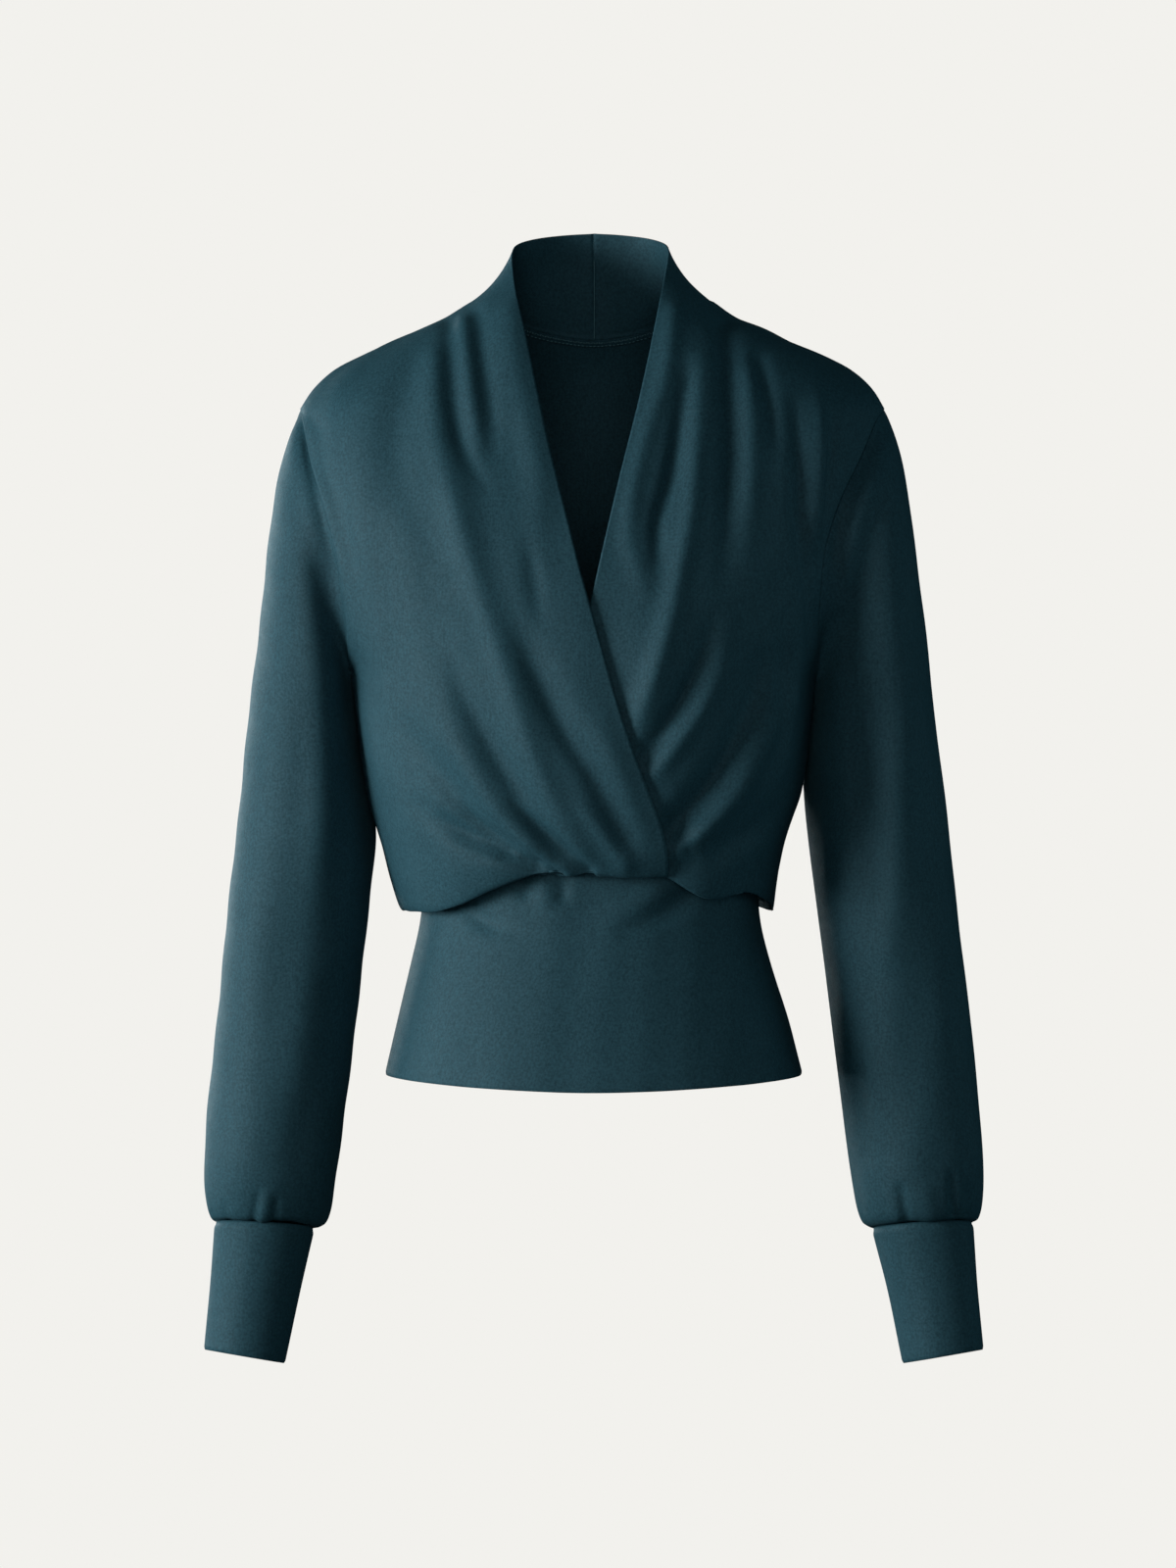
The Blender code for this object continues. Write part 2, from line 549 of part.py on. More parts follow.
def fronts(finish, collection):
    """Both fronts with their halves of the collar, the wearer's right one on top."""
    over = folded_front(RIGHT)
    under = lay_under(folded_front(LEFT), over)
    cloth_object("front_right", over, CLOTH_WALL, finish, collection)
    cloth_object("front_left", under, CLOTH_WALL, finish, collection, turned=True)


def back(finish, collection):
    """The back, which ends just under the neck seam."""
    levels = level_rows(with_collar=False)
    levels[-1] -= NECK_DROP
    shares = np.linspace(0, 1, BACK_COLUMNS)
    grid = back_grid(levels, shares, SEAM_GAP / 2)
    grid = fold_cloth("back", grid, -1, levels, np.minimum(shares, 1 - shares))
    cloth_object("back", grid, CLOTH_WALL, finish, collection, turned=True)


def sleeve(side, finish, collection):
    """One sleeve."""
    cloth_object("sleeve_" + side_name(side), sleeve_grid(side), CLOTH_WALL, finish, collection,
                 closed=True, turned=side == RIGHT)


def cuff(side, finish, collection):
    """One cuff."""
    rings = [ring_points(ring, side, CUFF_COLUMNS) for ring in CUFF_RINGS]
    cloth_object("cuff_" + side_name(side), tube_grid(rings, CUFF_ROWS), DOUBLE_WALL, finish, collection,
                 closed=True, turned=side == RIGHT)


def waistband(facing, finish, collection):
    """The front or the back half of the waistband."""
    cloth_object("waistband_" + facing, band_grid(facing), DOUBLE_WALL, finish, collection,
                 turned=facing == "front")


def main():
    """Build the garment."""
    for old in list(bpy.data.objects):
        bpy.data.objects.remove(old)
    garment = bpy.data.collections.new("wrap top")
    bpy.context.scene.collection.children.link(garment)
    jersey = material(*JERSEY)
    doubled = material(*DOUBLED_JERSEY)
    fronts(jersey, garment)
    for side in (RIGHT, LEFT):
        sleeve(side, jersey, garment)
        cuff(side, doubled, garment)
    back(jersey, garment)
    for facing in ("front", "back"):
        waistband(facing, doubled, garment)


main()
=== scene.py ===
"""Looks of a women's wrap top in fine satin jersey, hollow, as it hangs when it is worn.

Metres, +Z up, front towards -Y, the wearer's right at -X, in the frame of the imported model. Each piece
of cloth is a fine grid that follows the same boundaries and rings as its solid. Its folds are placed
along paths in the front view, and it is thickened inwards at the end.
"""

import sys

import logging
import math
from dataclasses import dataclass
from enum import Enum
from typing import NamedTuple

import bmesh
import bpy
import numpy as np
from mathutils import Matrix, Vector
from mathutils.bvhtree import BVHTree


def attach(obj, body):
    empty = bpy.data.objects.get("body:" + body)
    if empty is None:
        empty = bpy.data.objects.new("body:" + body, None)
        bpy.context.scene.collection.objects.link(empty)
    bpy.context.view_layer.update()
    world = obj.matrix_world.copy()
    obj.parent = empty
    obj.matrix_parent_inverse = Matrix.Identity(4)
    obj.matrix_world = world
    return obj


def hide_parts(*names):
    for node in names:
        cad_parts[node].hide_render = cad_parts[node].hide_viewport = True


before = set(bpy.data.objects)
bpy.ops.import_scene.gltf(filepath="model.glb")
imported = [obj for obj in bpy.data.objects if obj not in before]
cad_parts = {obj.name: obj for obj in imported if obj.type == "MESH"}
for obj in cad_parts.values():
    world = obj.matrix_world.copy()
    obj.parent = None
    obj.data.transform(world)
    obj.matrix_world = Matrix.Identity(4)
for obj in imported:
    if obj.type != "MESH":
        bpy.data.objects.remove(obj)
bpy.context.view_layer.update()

LOG = logging.getLogger("wrap_top")
BODY = "root"
MAP_NAME = "cloth"
SECTION_SAMPLES = 193
WELD_DISTANCE = 0.00001
SHORTEST = 1e-9
SEAM_STEPS = (0.0007, 0.0014, 0.0022, 0.0032)
CLEAR_OF_SEAM = 1.4


class Side(Enum):
    """A side of the wearer, as the sign of X."""

    RIGHT = -1
    LEFT = 1

    @property
    def word(self) -> str:
        """The side in lower case, as the pieces are named."""
        return self.name.lower()

    @property
    def other(self) -> "Side":
        """The opposite side."""
        return Side(-self.value)


class Facing(Enum):
    """Which way a piece looks, as the sign of Y."""

    FRONT = -1
    BACK = 1

    @property
    def word(self) -> str:
        """The way it looks in lower case, as the pieces are named."""
        return self.name.lower()


class Held(Enum):
    """How a piece of cloth is held."""

    GATHERED = "gathered"
    STRETCHED = "stretched"


class Border(Enum):
    """A border of a grid, as where its points are and where the next ones inside it are."""

    FIRST_ROW = (np.s_[0], np.s_[1])
    LAST_ROW = (np.s_[-1], np.s_[-2])
    FIRST_COLUMN = (np.s_[:, 0], np.s_[:, 1])
    LAST_COLUMN = (np.s_[:, -1], np.s_[:, -2])


# ------------------------------------------------------------------ reading curves and tables
def read_column(values: list[float] | np.ndarray, at: np.ndarray) -> np.ndarray:
    """Read a column of a table between its rows, with a curve that never overshoots them.

    Args:
        values: The column's numbers, one a row.
        at: Row numbers to read at, which may be fractions.

    Returns:
        The numbers there.
    """
    values = np.asarray(values, float)
    rises = np.diff(values)
    slopes = np.concatenate(([rises[0]], np.zeros(len(values) - 2), [rises[-1]]))
    same_way = rises[:-1] * rises[1:] > 0
    product = 2 * rises[:-1] * rises[1:]
    slopes[1:-1] = np.where(same_way, product / np.where(same_way, rises[:-1] + rises[1:], 1), 0)
    row = np.clip(np.floor(at).astype(int), 0, len(values) - 2)
    part = np.asarray(at) - row
    rest = 1 - part
    return (values[row] * rest ** 2 * (1 + 2 * part)
            + values[row + 1] * part ** 2 * (1 + 2 * rest)
            + (slopes[row] * rest - slopes[row + 1] * part) * part * rest)


def read_cornered(values: list[float], at: np.ndarray, corners: tuple[int, ...]) -> np.ndarray:
    """Read a column that may turn sharply at some rows.

    Args:
        values: The column's numbers.
        at: Row numbers to read at.
        corners: The rows with a sharp turn, with the first and the last row.

    Returns:
        The numbers there.
    """
    at = np.asarray(at, float)
    result = np.zeros_like(at)
    for first, last in zip(corners, corners[1:]):
        inside = (at >= first) & (at <= last)
        result[inside] = read_column(values[first:last + 1], at[inside] - first)
    return result


def power(base: np.ndarray, exponent: float | np.ndarray) -> np.ndarray:
    """A power that keeps the sign of its base."""
    return np.sign(base) * np.abs(base) ** exponent


def soft_step(value: np.ndarray) -> np.ndarray:
    """Rise from 0 to 1 with level ends."""
    value = np.clip(value, 0, 1)
    return value * value * (3 - 2 * value)


def lengths_across(points: np.ndarray) -> np.ndarray:
    """The length along each row of points up to every point."""
    steps = np.linalg.norm(np.diff(points, axis=1), axis=2)
    return np.concatenate((np.zeros((len(steps), 1)), np.cumsum(steps, axis=1)), axis=1)


def lengths_along(points: np.ndarray) -> np.ndarray:
    """The length along each column of points up to every point."""
    return lengths_across(points.transpose(1, 0, 2)).T


def spaced(points: np.ndarray, shares: np.ndarray, trim: float) -> np.ndarray:
    """Take points at given shares of each row's length.

    Args:
        points: Rows of finely sampled points.
        shares: The shares wanted, from 0 to 1.
        trim: What is cut off the start of every row first.

    Returns:
        Rows with one point a share.
    """
    rows = []
    for row, length in zip(points, lengths_across(points)):
        along = trim + shares * (length[-1] - trim)
        rows.append(np.stack([np.interp(along, length, row[:, axis]) for axis in range(3)], axis=1))
    return np.array(rows)


def seam_shares(count: int, first_seam: bool, last_seam: bool, width: float) -> np.ndarray:
    """Even shares, with a few more beside a seam where the cloth dips into it.

    Args:
        count: How many even shares there are.
        first_seam: Whether the start is sewn.
        last_seam: Whether the end is sewn.
        width: A usual width of the piece, in metres.

    Returns:
        Rising shares from 0 to 1.
    """
    beside = np.array(SEAM_STEPS) / width
    clear = beside[-1] * CLEAR_OF_SEAM
    start = [0, *beside] if first_seam else []
    end = [*(1 - beside[::-1]), 1] if last_seam else []
    even = np.linspace(clear if first_seam else 0, 1 - clear if last_seam else 1, count)
    return np.concatenate((start, even, end))


# ------------------------------------------------------------------ folds
class Fold(NamedTuple):
    """A fold along a path in the front view, a ridge where depth is positive.

    start and finish are how much of it is left at the ends of the path. With a positive lean the side
    on the left of the path's direction is the steeper one.
    """

    depth: float
    width: float
    start: float
    finish: float
    path: tuple[tuple[float, float], ...]
    lean: float = 0.0


@dataclass(frozen=True)
class Drape:
    """What folds do to a piece of cloth.

    Each path is read at samples places. swell is what a fold gains halfway along, and flatness how much
    less the ripples run up and down than across.
    """

    samples: int = 60
    swell: float = 0.6
    flatness: float = 0.5
    ripple_depth: float = 0.00025
    ripple_lengths: tuple[float, ...] = (0.085, 0.061, 0.047, 0.038, 0.029)

    def heights(self, folds: tuple[Fold, ...], points: np.ndarray) -> np.ndarray:
        """How far each point of a grid is moved out by folds.

        Args:
            folds: The folds.
            points: The grid.

        Returns:
            The height at each point, in metres.
        """
        seen = points[:, :, [0, 2]]
        height = np.zeros(points.shape[:2])
        for fold in folds:
            at = np.linspace(0, len(fold.path) - 1, self.samples)
            share = at / at[-1]
            curve = np.stack([read_column([p[axis] for p in fold.path], at) for axis in range(2)], axis=1)
            heading = np.gradient(curve, axis=0)
            nearest = np.zeros(height.shape, int)
            least = np.full(height.shape, np.inf)
            for number, place in enumerate(curve):
                distance = np.hypot(seen[:, :, 0] - place[0], seen[:, :, 1] - place[1])
                closer = distance < least
                nearest[closer] = number
                least = np.minimum(least, distance)
            offset = seen - curve[nearest]
            ahead = heading[nearest]
            left = ahead[:, :, 0] * offset[:, :, 1] - ahead[:, :, 1] * offset[:, :, 0] > 0
            width = fold.width * np.where(left, 1 - fold.lean, 1 + fold.lean)
            strength = fold.start + (fold.finish - fold.start) * share
            strength = np.minimum(1, strength + np.sin(np.pi * share) * self.swell)
            height += fold.depth * strength[nearest] * np.exp(-(least / width) ** 2)
        return height

    def ripples(self, points: np.ndarray, seed: int) -> np.ndarray:
        """Very shallow, broad unevenness, so that no cloth is perfectly smooth.

        Args:
            points: The grid.
            seed: Makes the same unevenness each time.

        Returns:
            The height at each point, in metres.
        """
        chance = np.random.default_rng(seed)
        height = np.zeros(points.shape[:2])
        for length in self.ripple_lengths:
            way = chance.normal(size=3)
            way[2] *= self.flatness
            way /= np.linalg.norm(way)
            height += np.sin(points @ way * 2 * np.pi / length + chance.uniform(0, 2 * np.pi))
        return height * self.ripple_depth


# ------------------------------------------------------------------ finishes
NOISE_MIDDLE = (0.3, 0.7)
FINE_DETAIL = 3.0


class Board:
    """Adds nodes to a material and links them."""

    def __init__(self, name: str) -> None:
        """Start a material with its surface shader.

        Args:
            name: What the material is called.
        """
        self.material = bpy.data.materials.new(name)
        self.material.use_nodes = True
        self.nodes = self.material.node_tree.nodes
        self.links = self.material.node_tree.links
        self.shader = self.nodes["Principled BSDF"]

    def add(self, kind: str, inputs: dict | None = None, **settings: object) -> bpy.types.Node:
        """Add a node.

        Args:
            kind: The node's type.
            inputs: Values or sockets for its inputs, by name or number.
            settings: Values for its own properties.

        Returns:
            The node.
        """
        node = self.nodes.new(kind)
        for setting, value in settings.items():
            setattr(node, setting, value)
        for socket, value in (inputs or {}).items():
            if isinstance(value, bpy.types.NodeSocket):
                self.links.new(value, node.inputs[socket])
            else:
                node.inputs[socket].default_value = value
        return node

    def math(self, operation: str, first: object, second: object = 0.0) -> bpy.types.NodeSocket:
        """The result of a sum of two numbers or sockets."""
        return self.add("ShaderNodeMath", {0: first, 1: second}, operation=operation).outputs[0]

    def ranged(self, value: bpy.types.NodeSocket, low: float, high: float, to_low: float,
               to_high: float) -> bpy.types.NodeSocket:
        """A value taken from one range to another."""
        return self.add("ShaderNodeMapRange", {0: value, 1: low, 2: high, 3: to_low, 4: to_high}).outputs[0]

    def blend(self, share: bpy.types.NodeSocket, first: tuple[float, float, float],
              second: tuple[float, float, float]) -> bpy.types.NodeSocket:
        """Blend two colours, with sockets by number because three kinds of them share each name.

        Args:
            share: How much of the second colour there is, from 0 to 1.
            first: The first colour.
            second: The second colour.

        Returns:
            The colour.
        """
        node = self.add("ShaderNodeMix", data_type="RGBA")
        self.links.new(share, node.inputs[0])
        node.inputs[6].default_value = (*first, 1)
        node.inputs[7].default_value = (*second, 1)
        return node.outputs[2]

    def noise(self, place: bpy.types.NodeSocket, scale: float, detail: float = 2.0) -> bpy.types.NodeSocket:
        """A noise value at a place."""
        node = self.add("ShaderNodeTexNoise", {"Vector": place, "Scale": scale, "Detail": detail})
        return node.outputs["Fac"]

    def noise_between(self, place: bpy.types.NodeSocket, scale: float, low: float, high: float,
                      detail: float = 2.0) -> bpy.types.NodeSocket:
        """A noise value spread over a range, from the middle part that noise mostly keeps to."""
        return self.ranged(self.noise(place, scale, detail), *NOISE_MIDDLE, low, high)


@dataclass(frozen=True)
class JerseyFinish:
    """Fine plain-knit jersey with a soft satin sheen.

    Lengths and scales are of metres. The sizes of nap, blotches, streaks and stitches are how far each
    takes the colour from its middle towards light or shade. The stitches' share is painted shade in the
    hollows between the knitted loops and painted light on their tops.
    """

    name: str
    shade: tuple[float, float, float] = (0.0200, 0.063, 0.083)
    light: tuple[float, float, float] = (0.0398, 0.121, 0.159)
    roughness: float = 0.50
    duller: float = 0.05
    glossier: float = 0.04
    gloss_scale: float = 160.0
    specular: float = 0.17
    specular_tint: tuple[float, float, float] = (0.70, 0.92, 1.0)
    sheen: float = 0.04
    sheen_roughness: float = 0.45
    sheen_tint: tuple[float, float, float] = (0.35, 0.70, 0.80)
    wale: float = 0.00085
    course: float = 0.00070
    slant: float = 1.3
    loop_fullness: float = 0.6
    knit_depth: float = 0.00007
    knit_strength: float = 0.8
    nap_scale: float = 700.0
    nap_depth: float = 0.00012
    nap_strength: float = 0.6
    blotch_scale: float = 11.0
    blotches: float = 0.08
    streak_scale: tuple[float, float, float] = (1400.0, 90.0, 1.0)
    streaks: float = 0.14
    mottle_scale: float = 620.0
    mottle: float = 0.36
    # how far the painted shade between the knitted loops and the painted light on their tops take the colour
    stitches: float = 0.08

    def knit(self, board: Board, place: bpy.types.NodeSocket) -> bpy.types.NodeSocket:
        """The height of the knitted loops, in two slanting halves for each wale.

        Args:
            board: The material's board.
            place: The piece's own map.

        Returns:
            The height, from 0 to 1.
        """
        split = board.add("ShaderNodeSeparateXYZ", {0: place})
        ladder = board.math("PINGPONG", board.math("DIVIDE", split.outputs[0], self.wale), 0.5)
        climb = board.math("MULTIPLY", ladder, self.slant)
        course = board.math("DIVIDE", split.outputs[1], self.course)
        loop = board.math("FRACT", board.math("ADD", course, climb))
        across = board.math("SINE", board.math("MULTIPLY", ladder, 2 * math.pi))
        along = board.math("SINE", board.math("MULTIPLY", loop, math.pi))
        return board.math("MULTIPLY", across, board.math("POWER", along, self.loop_fullness))

    def relief(self, board: Board, solid: bpy.types.NodeSocket,
               knit: bpy.types.NodeSocket) -> bpy.types.NodeSocket:
        """The surface's normal, with loops and nap.

        Args:
            board: The material's board.
            solid: The place in the object.
            knit: The height of the loops.

        Returns:
            The normal.
        """
        nap = board.noise(solid, self.nap_scale, FINE_DETAIL)
        loops = board.add("ShaderNodeBump", {"Strength": self.knit_strength, "Distance": self.knit_depth,
                                             "Height": knit})
        return board.add("ShaderNodeBump", {"Strength": self.nap_strength, "Distance": self.nap_depth,
                                            "Height": nap, "Normal": loops.outputs[0]}).outputs[0]

    def colour(self, board: Board, place: bpy.types.NodeSocket, solid: bpy.types.NodeSocket,
               knit: bpy.types.NodeSocket) -> bpy.types.NodeSocket:
        """The colour, uneven as in dyed yarn, with painted shade in the hollows between the knitted loops
        and painted light on their tops.

        Args:
            board: The material's board.
            place: The piece's own map.
            solid: The place in the object.
            knit: The height of the loops.

        Returns:
            The colour.
        """
        broad = board.noise_between(solid, self.blotch_scale, 0.5 - self.blotches, 0.5 + self.blotches)
        stretched = board.add("ShaderNodeMapping", {"Vector": place, "Scale": self.streak_scale}).outputs[0]
        streak = board.noise_between(stretched, 1.0, -self.streaks, self.streaks, FINE_DETAIL)
        mottle = board.noise_between(solid, self.mottle_scale, -self.mottle, self.mottle)
        # painted shade in the hollows between the knitted loops and painted light on their tops, taken from
        # the loops' height
        stitches = board.ranged(knit, 0.0, 1.0, -self.stitches, self.stitches)
        share = board.math("ADD", board.math("ADD", broad, streak), board.math("ADD", mottle, stitches))
        return board.blend(share, self.shade, self.light)

    def material(self) -> bpy.types.Material:
        """Make the material, on the piece's own map in metres and on object coordinates.

        Returns:
            The material.
        """
        board = Board(self.name)
        shader = board.shader.inputs
        place = board.add("ShaderNodeUVMap", uv_map=MAP_NAME).outputs["UV"]
        solid = board.add("ShaderNodeTexCoord").outputs["Object"]
        knit = self.knit(board, place)
        board.links.new(self.relief(board, solid, knit), shader["Normal"])
        board.links.new(self.colour(board, place, solid, knit), shader["Base Color"])
        gloss = board.noise_between(solid, self.gloss_scale, self.roughness - self.glossier,
                                    self.roughness + self.duller)
        board.links.new(gloss, shader["Roughness"])
        shader["Specular IOR Level"].default_value = self.specular
        shader["Specular Tint"].default_value = (*self.specular_tint, 1)
        shader["Sheen Weight"].default_value = self.sheen
        shader["Sheen Roughness"].default_value = self.sheen_roughness
        shader["Sheen Tint"].default_value = (*self.sheen_tint, 1)
        return board.material


@dataclass(frozen=True)
class ThreadFinish:
    """Polyester sewing thread, several times lighter than the cloth it sews."""

    name: str = "sewing_thread"
    shade: tuple[float, float, float] = (0.110, 0.260, 0.310)
    light: tuple[float, float, float] = (0.200, 0.420, 0.480)
    roughness: float = 0.42
    twist: float = 2600.0

    def material(self) -> bpy.types.Material:
        """Make the material.

        Returns:
            The material.
        """
        board = Board(self.name)
        solid = board.add("ShaderNodeTexCoord").outputs["Object"]
        ply = board.noise_between(solid, self.twist, 0.0, 1.0)
        board.links.new(board.blend(ply, self.shade, self.light), board.shader.inputs["Base Color"])
        board.shader.inputs["Roughness"].default_value = self.roughness
        return board.material


# ------------------------------------------------------------------ cloth
class Cut(NamedTuple):
    """What a piece is cut to: the rectangle it fits in, its area, how it is held and by what."""

    width: float
    length: float
    area: float
    held: Held
    rests_on: tuple[str, ...]


def grid_net(points: np.ndarray, chart: np.ndarray) -> bmesh.types.BMesh:
    """Make a mesh with a vertex at each point of a grid.

    Args:
        points: The grid.
        chart: Where each point lies on the piece's own map.

    Returns:
        The mesh.
    """
    rows, columns = points.shape[:2]
    net = bmesh.new()
    place = net.loops.layers.uv.new(MAP_NAME)
    bmesh.ops.create_grid(net, x_segments=columns - 1, y_segments=rows - 1, size=0.5)
    for vertex in net.verts:
        column = round((vertex.co.x + 0.5) * (columns - 1))
        row = round((vertex.co.y + 0.5) * (rows - 1))
        for loop in vertex.link_loops:
            loop[place].uv = chart[row, column]
        vertex.co = points[row, column]
    return net


def shown(net: bmesh.types.BMesh, name: str, finish: bpy.types.Material) -> bpy.types.Object:
    """Turn a mesh into a smooth object in the scene.

    Args:
        net: The mesh, which ends here.
        name: The object's name.
        finish: Its material.

    Returns:
        The object.
    """
    mesh = bpy.data.meshes.new(name)
    net.to_mesh(mesh)
    net.free()
    mesh.shade_smooth()
    mesh.materials.append(finish)
    made = bpy.data.objects.new(name, mesh)
    bpy.context.scene.collection.objects.link(made)
    return made


def declare(made: bpy.types.Object, node: str, slot: str) -> bpy.types.Object:
    """Attach an object of the garment to the body, and hide the solid that it replaces.

    Args:
        made: The object.
        node: The solid that it replaces.
        slot: Its material slot; not used.

    Returns:
        The same object.
    """
    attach(made, BODY)
    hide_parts(node)
    return made


@dataclass
class Cloth:
    """A piece of cloth on a grid of points.

    closed joins the last column of a tube to its first, and turned says that the outer side is on the
    other hand. chart is where each point lies on the knitted cloth, in metres, or None for a plain
    rectangle. free is how much of a move each point follows, from 0 to 1.
    """

    name: str
    node: str
    slot: str
    points: np.ndarray
    wall: float
    closed: bool = False
    turned: bool = False
    chart: np.ndarray | None = None
    free: np.ndarray | float = 1.0

    def normals(self) -> np.ndarray:
        """Unit normals that point out of the garment.

        Returns:
            One for each point.
        """
        grid = self.points
        along = np.gradient(grid, axis=0)
        if self.closed:
            across = np.roll(grid, -1, axis=1) - np.roll(grid, 1, axis=1)
        else:
            across = np.gradient(grid, axis=1)
        normal = np.cross(across, along) * (-1 if self.turned else 1)
        return normal / np.maximum(np.linalg.norm(normal, axis=2), SHORTEST)[:, :, None]

    def settle(self, rounds: int, hold: np.ndarray) -> None:
        """Soften the grid along its columns.

        Args:
            rounds: How often.
            hold: For each point or row, 0 where it moves freely and 1 where it stays.
        """
        free = (1 - hold[1:-1])[:, :, None]
        for _ in range(rounds):
            mean = (self.points[:-2] + 2 * self.points[1:-1] + self.points[2:]) / 4
            self.points[1:-1] += (mean - self.points[1:-1]) * free

    def move_out(self, heights: np.ndarray) -> None:
        """Move the points along their normals."""
        self.points = self.points + self.normals() * (heights * self.free)[:, :, None]

    def keep_still(self, corners: list[np.ndarray], reach: float = 0.008) -> None:
        """Let nothing move at sharp corners, where the normals of the grid mean little."""
        nearest = np.min([np.linalg.norm(self.points - corner, axis=2) for corner in corners], axis=0)
        self.free = soft_step(nearest / reach)

    def dip(self, distance: np.ndarray, depth: float | np.ndarray = 0.0005, reach: float = 0.0012,
            lip: float = 0.0) -> None:
        """Sink the cloth into a seam.

        Args:
            distance: Each point's distance from the seam.
            depth: How deep the seam lies.
            reach: How far from it the cloth starts to turn in.
            lip: How far the cloth stands up just before it turns in.
        """
        raised = lip * np.exp(-((distance - 2 * reach) / reach) ** 2)
        self.move_out(raised - depth * np.exp(-(distance / reach) ** 2))

    def reach_over(self, *borders: Border, length: float = 0.0004) -> None:
        """Carry the cloth a little way over seams, so that no light comes through them.

        Args:
            borders: The sewn borders.
            length: How far.
        """
        for border in borders:
            edge, inner = border.value
            way = self.points[edge] - self.points[inner]
            self.points[edge] += length * way / np.maximum(np.linalg.norm(way, axis=1), SHORTEST)[:, None]

    def make(self, finish: bpy.types.Material) -> bpy.types.Object:
        """Make the object, thickened inwards.

        Args:
            finish: Its material.

        Returns:
            The object.
        """
        grid = np.concatenate((self.points, self.points[:, :1]), axis=1) if self.closed else self.points
        chart = self.chart
        if chart is None:
            chart = np.stack((lengths_across(grid), lengths_along(grid)), axis=2)
        net = grid_net(grid, chart)
        if self.closed:
            bmesh.ops.remove_doubles(net, verts=net.verts, dist=WELD_DISTANCE)
        if self.turned:
            bmesh.ops.reverse_faces(net, faces=net.faces)
        made = shown(net, self.name, finish)
        shell = made.modifiers.new("wall", "SOLIDIFY")
        shell.thickness = self.wall
        shell.offset = -1
        return declare(made, self.node, self.slot)

    def build(self, finish: bpy.types.Material, cut: Cut, pieces: tuple[bpy.types.Object, ...] = ()) -> None:
        """Args:
            finish: Its material.
            cut: What it is cut to.
            pieces: The separate pieces on it; not used.
        """
        made = self.make(finish)
        list(cut.rests_on)
        list(pieces)
        area = sum(polygon.area for polygon in made.data.polygons)
        LOG.info("%s: %d faces, %.4f sq m of cloth, cut %.4f sq m", self.name, len(made.data.polygons), area,
                 cut.area)


# ------------------------------------------------------------------ bodice
class Outline(NamedTuple):
    """The sewn boundary at one level of fronts and back: distances from the middle on either side, the
    fronts' depth there, the depth of the widest place, and the same of the back."""

    name: str
    right_x: float
    left_x: float
    front_y: float
    widest_y: float
    z: float
    back_right_x: float
    back_left_x: float
    back_y: float
    centre_back_y: float
    centre_back_z: float


class Edge(NamedTuple):
    """The wrap edge at one level: of the upper and the lower front, its section's exponent, how late the
    section leaves the height of its outer end, and how much its lower rim is held up in the middle."""

    over_x: float
    under_x: float
    y: float
    z: float
    roundness: float = 2.25
    fall: float = 1.6
    scallop: float = 0.0


OUTLINES = (
    Outline("waist seam", .1112, .1072, 0, 0, -.3450, .1112, .1072, 0, .0804, -.3450),
    Outline("under fold", .1180, .1130, 0, 0, -.3660, .1180, .1130, 0, .0880, -.3580),
    Outline("fold lip", .1245, .1165, 0, 0, -.3745, .1245, .1165, 0, .0960, -.3640),
    Outline("blouse", .1315, .1190, 0, 0, -.3570, .1315, .1190, 0, .1020, -.3500),
    Outline("full blouse", .1385, .1235, 0, 0, -.3300, .1385, .1235, 0, .1050, -.3250),
    Outline("ribs", .1480, .1356, 0, 0, -.2950, .1480, .1340, 0, .1040, -.2910),
    Outline("underarm", .1540, .1408, 0, 0, -.2600, .1540, .1400, 0, .1020, -.2580),
    Outline("armpit", .1575, .1440, 0, 0, -.2280, .1575, .1440, 0, .1005, -.2260),
    Outline("armhole 1", .1590, .1450, -.030, 0, -.2110, .1600, .1470, .024, .0998, -.2080),
    Outline("armhole 2", .1605, .1455, -.047, 0, -.1830, .1630, .1510, .038, .0990, -.1780),
    Outline("armhole 3", .1650, .1480, -.055, 0, -.1470, .1680, .1580, .046, .0985, -.1400),
    Outline("armhole 4", .1735, .1570, -.052, 0, -.1140, .1755, .1680, .046, .0960, -.1060),
    Outline("armhole 5", .1840, .1730, -.036, 0, -.0800, .1850, .1800, .032, .0920, -.0740),
    Outline("armhole 6", .1895, .1840, -.0200, 0, -.0545, .1895, .1865, .0185, .0883, -.0530),
    Outline("shoulder point", .1915, .1895, 0, 0, -.0465, .1915, .1895, 0, .0870, -.0460),
    Outline("shoulder 1", .1838, .1825, .002, .002, -.0345, .1838, .1825, .002, .0845, -.0350),
    Outline("shoulder 2", .1700, .1690, .004, .004, -.0213, .1700, .1690, .004, .0815, -.0250),
    Outline("shoulder 3", .1480, .1460, .006, .006, -.0093, .1480, .1460, .006, .0770, -.0155),
    Outline("shoulder 4", .1200, .1155, .008, .008, .0033, .1200, .1155, .008, .0720, -.0070),
    Outline("shoulder 5", .0960, .0920, .010, .010, .0150, .0960, .0920, .010, .0670, -.0005),
    Outline("neck point", .0800, .0785, .0115, .0115, .0248, .0800, .0785, .0115, .0620, .0050),
)
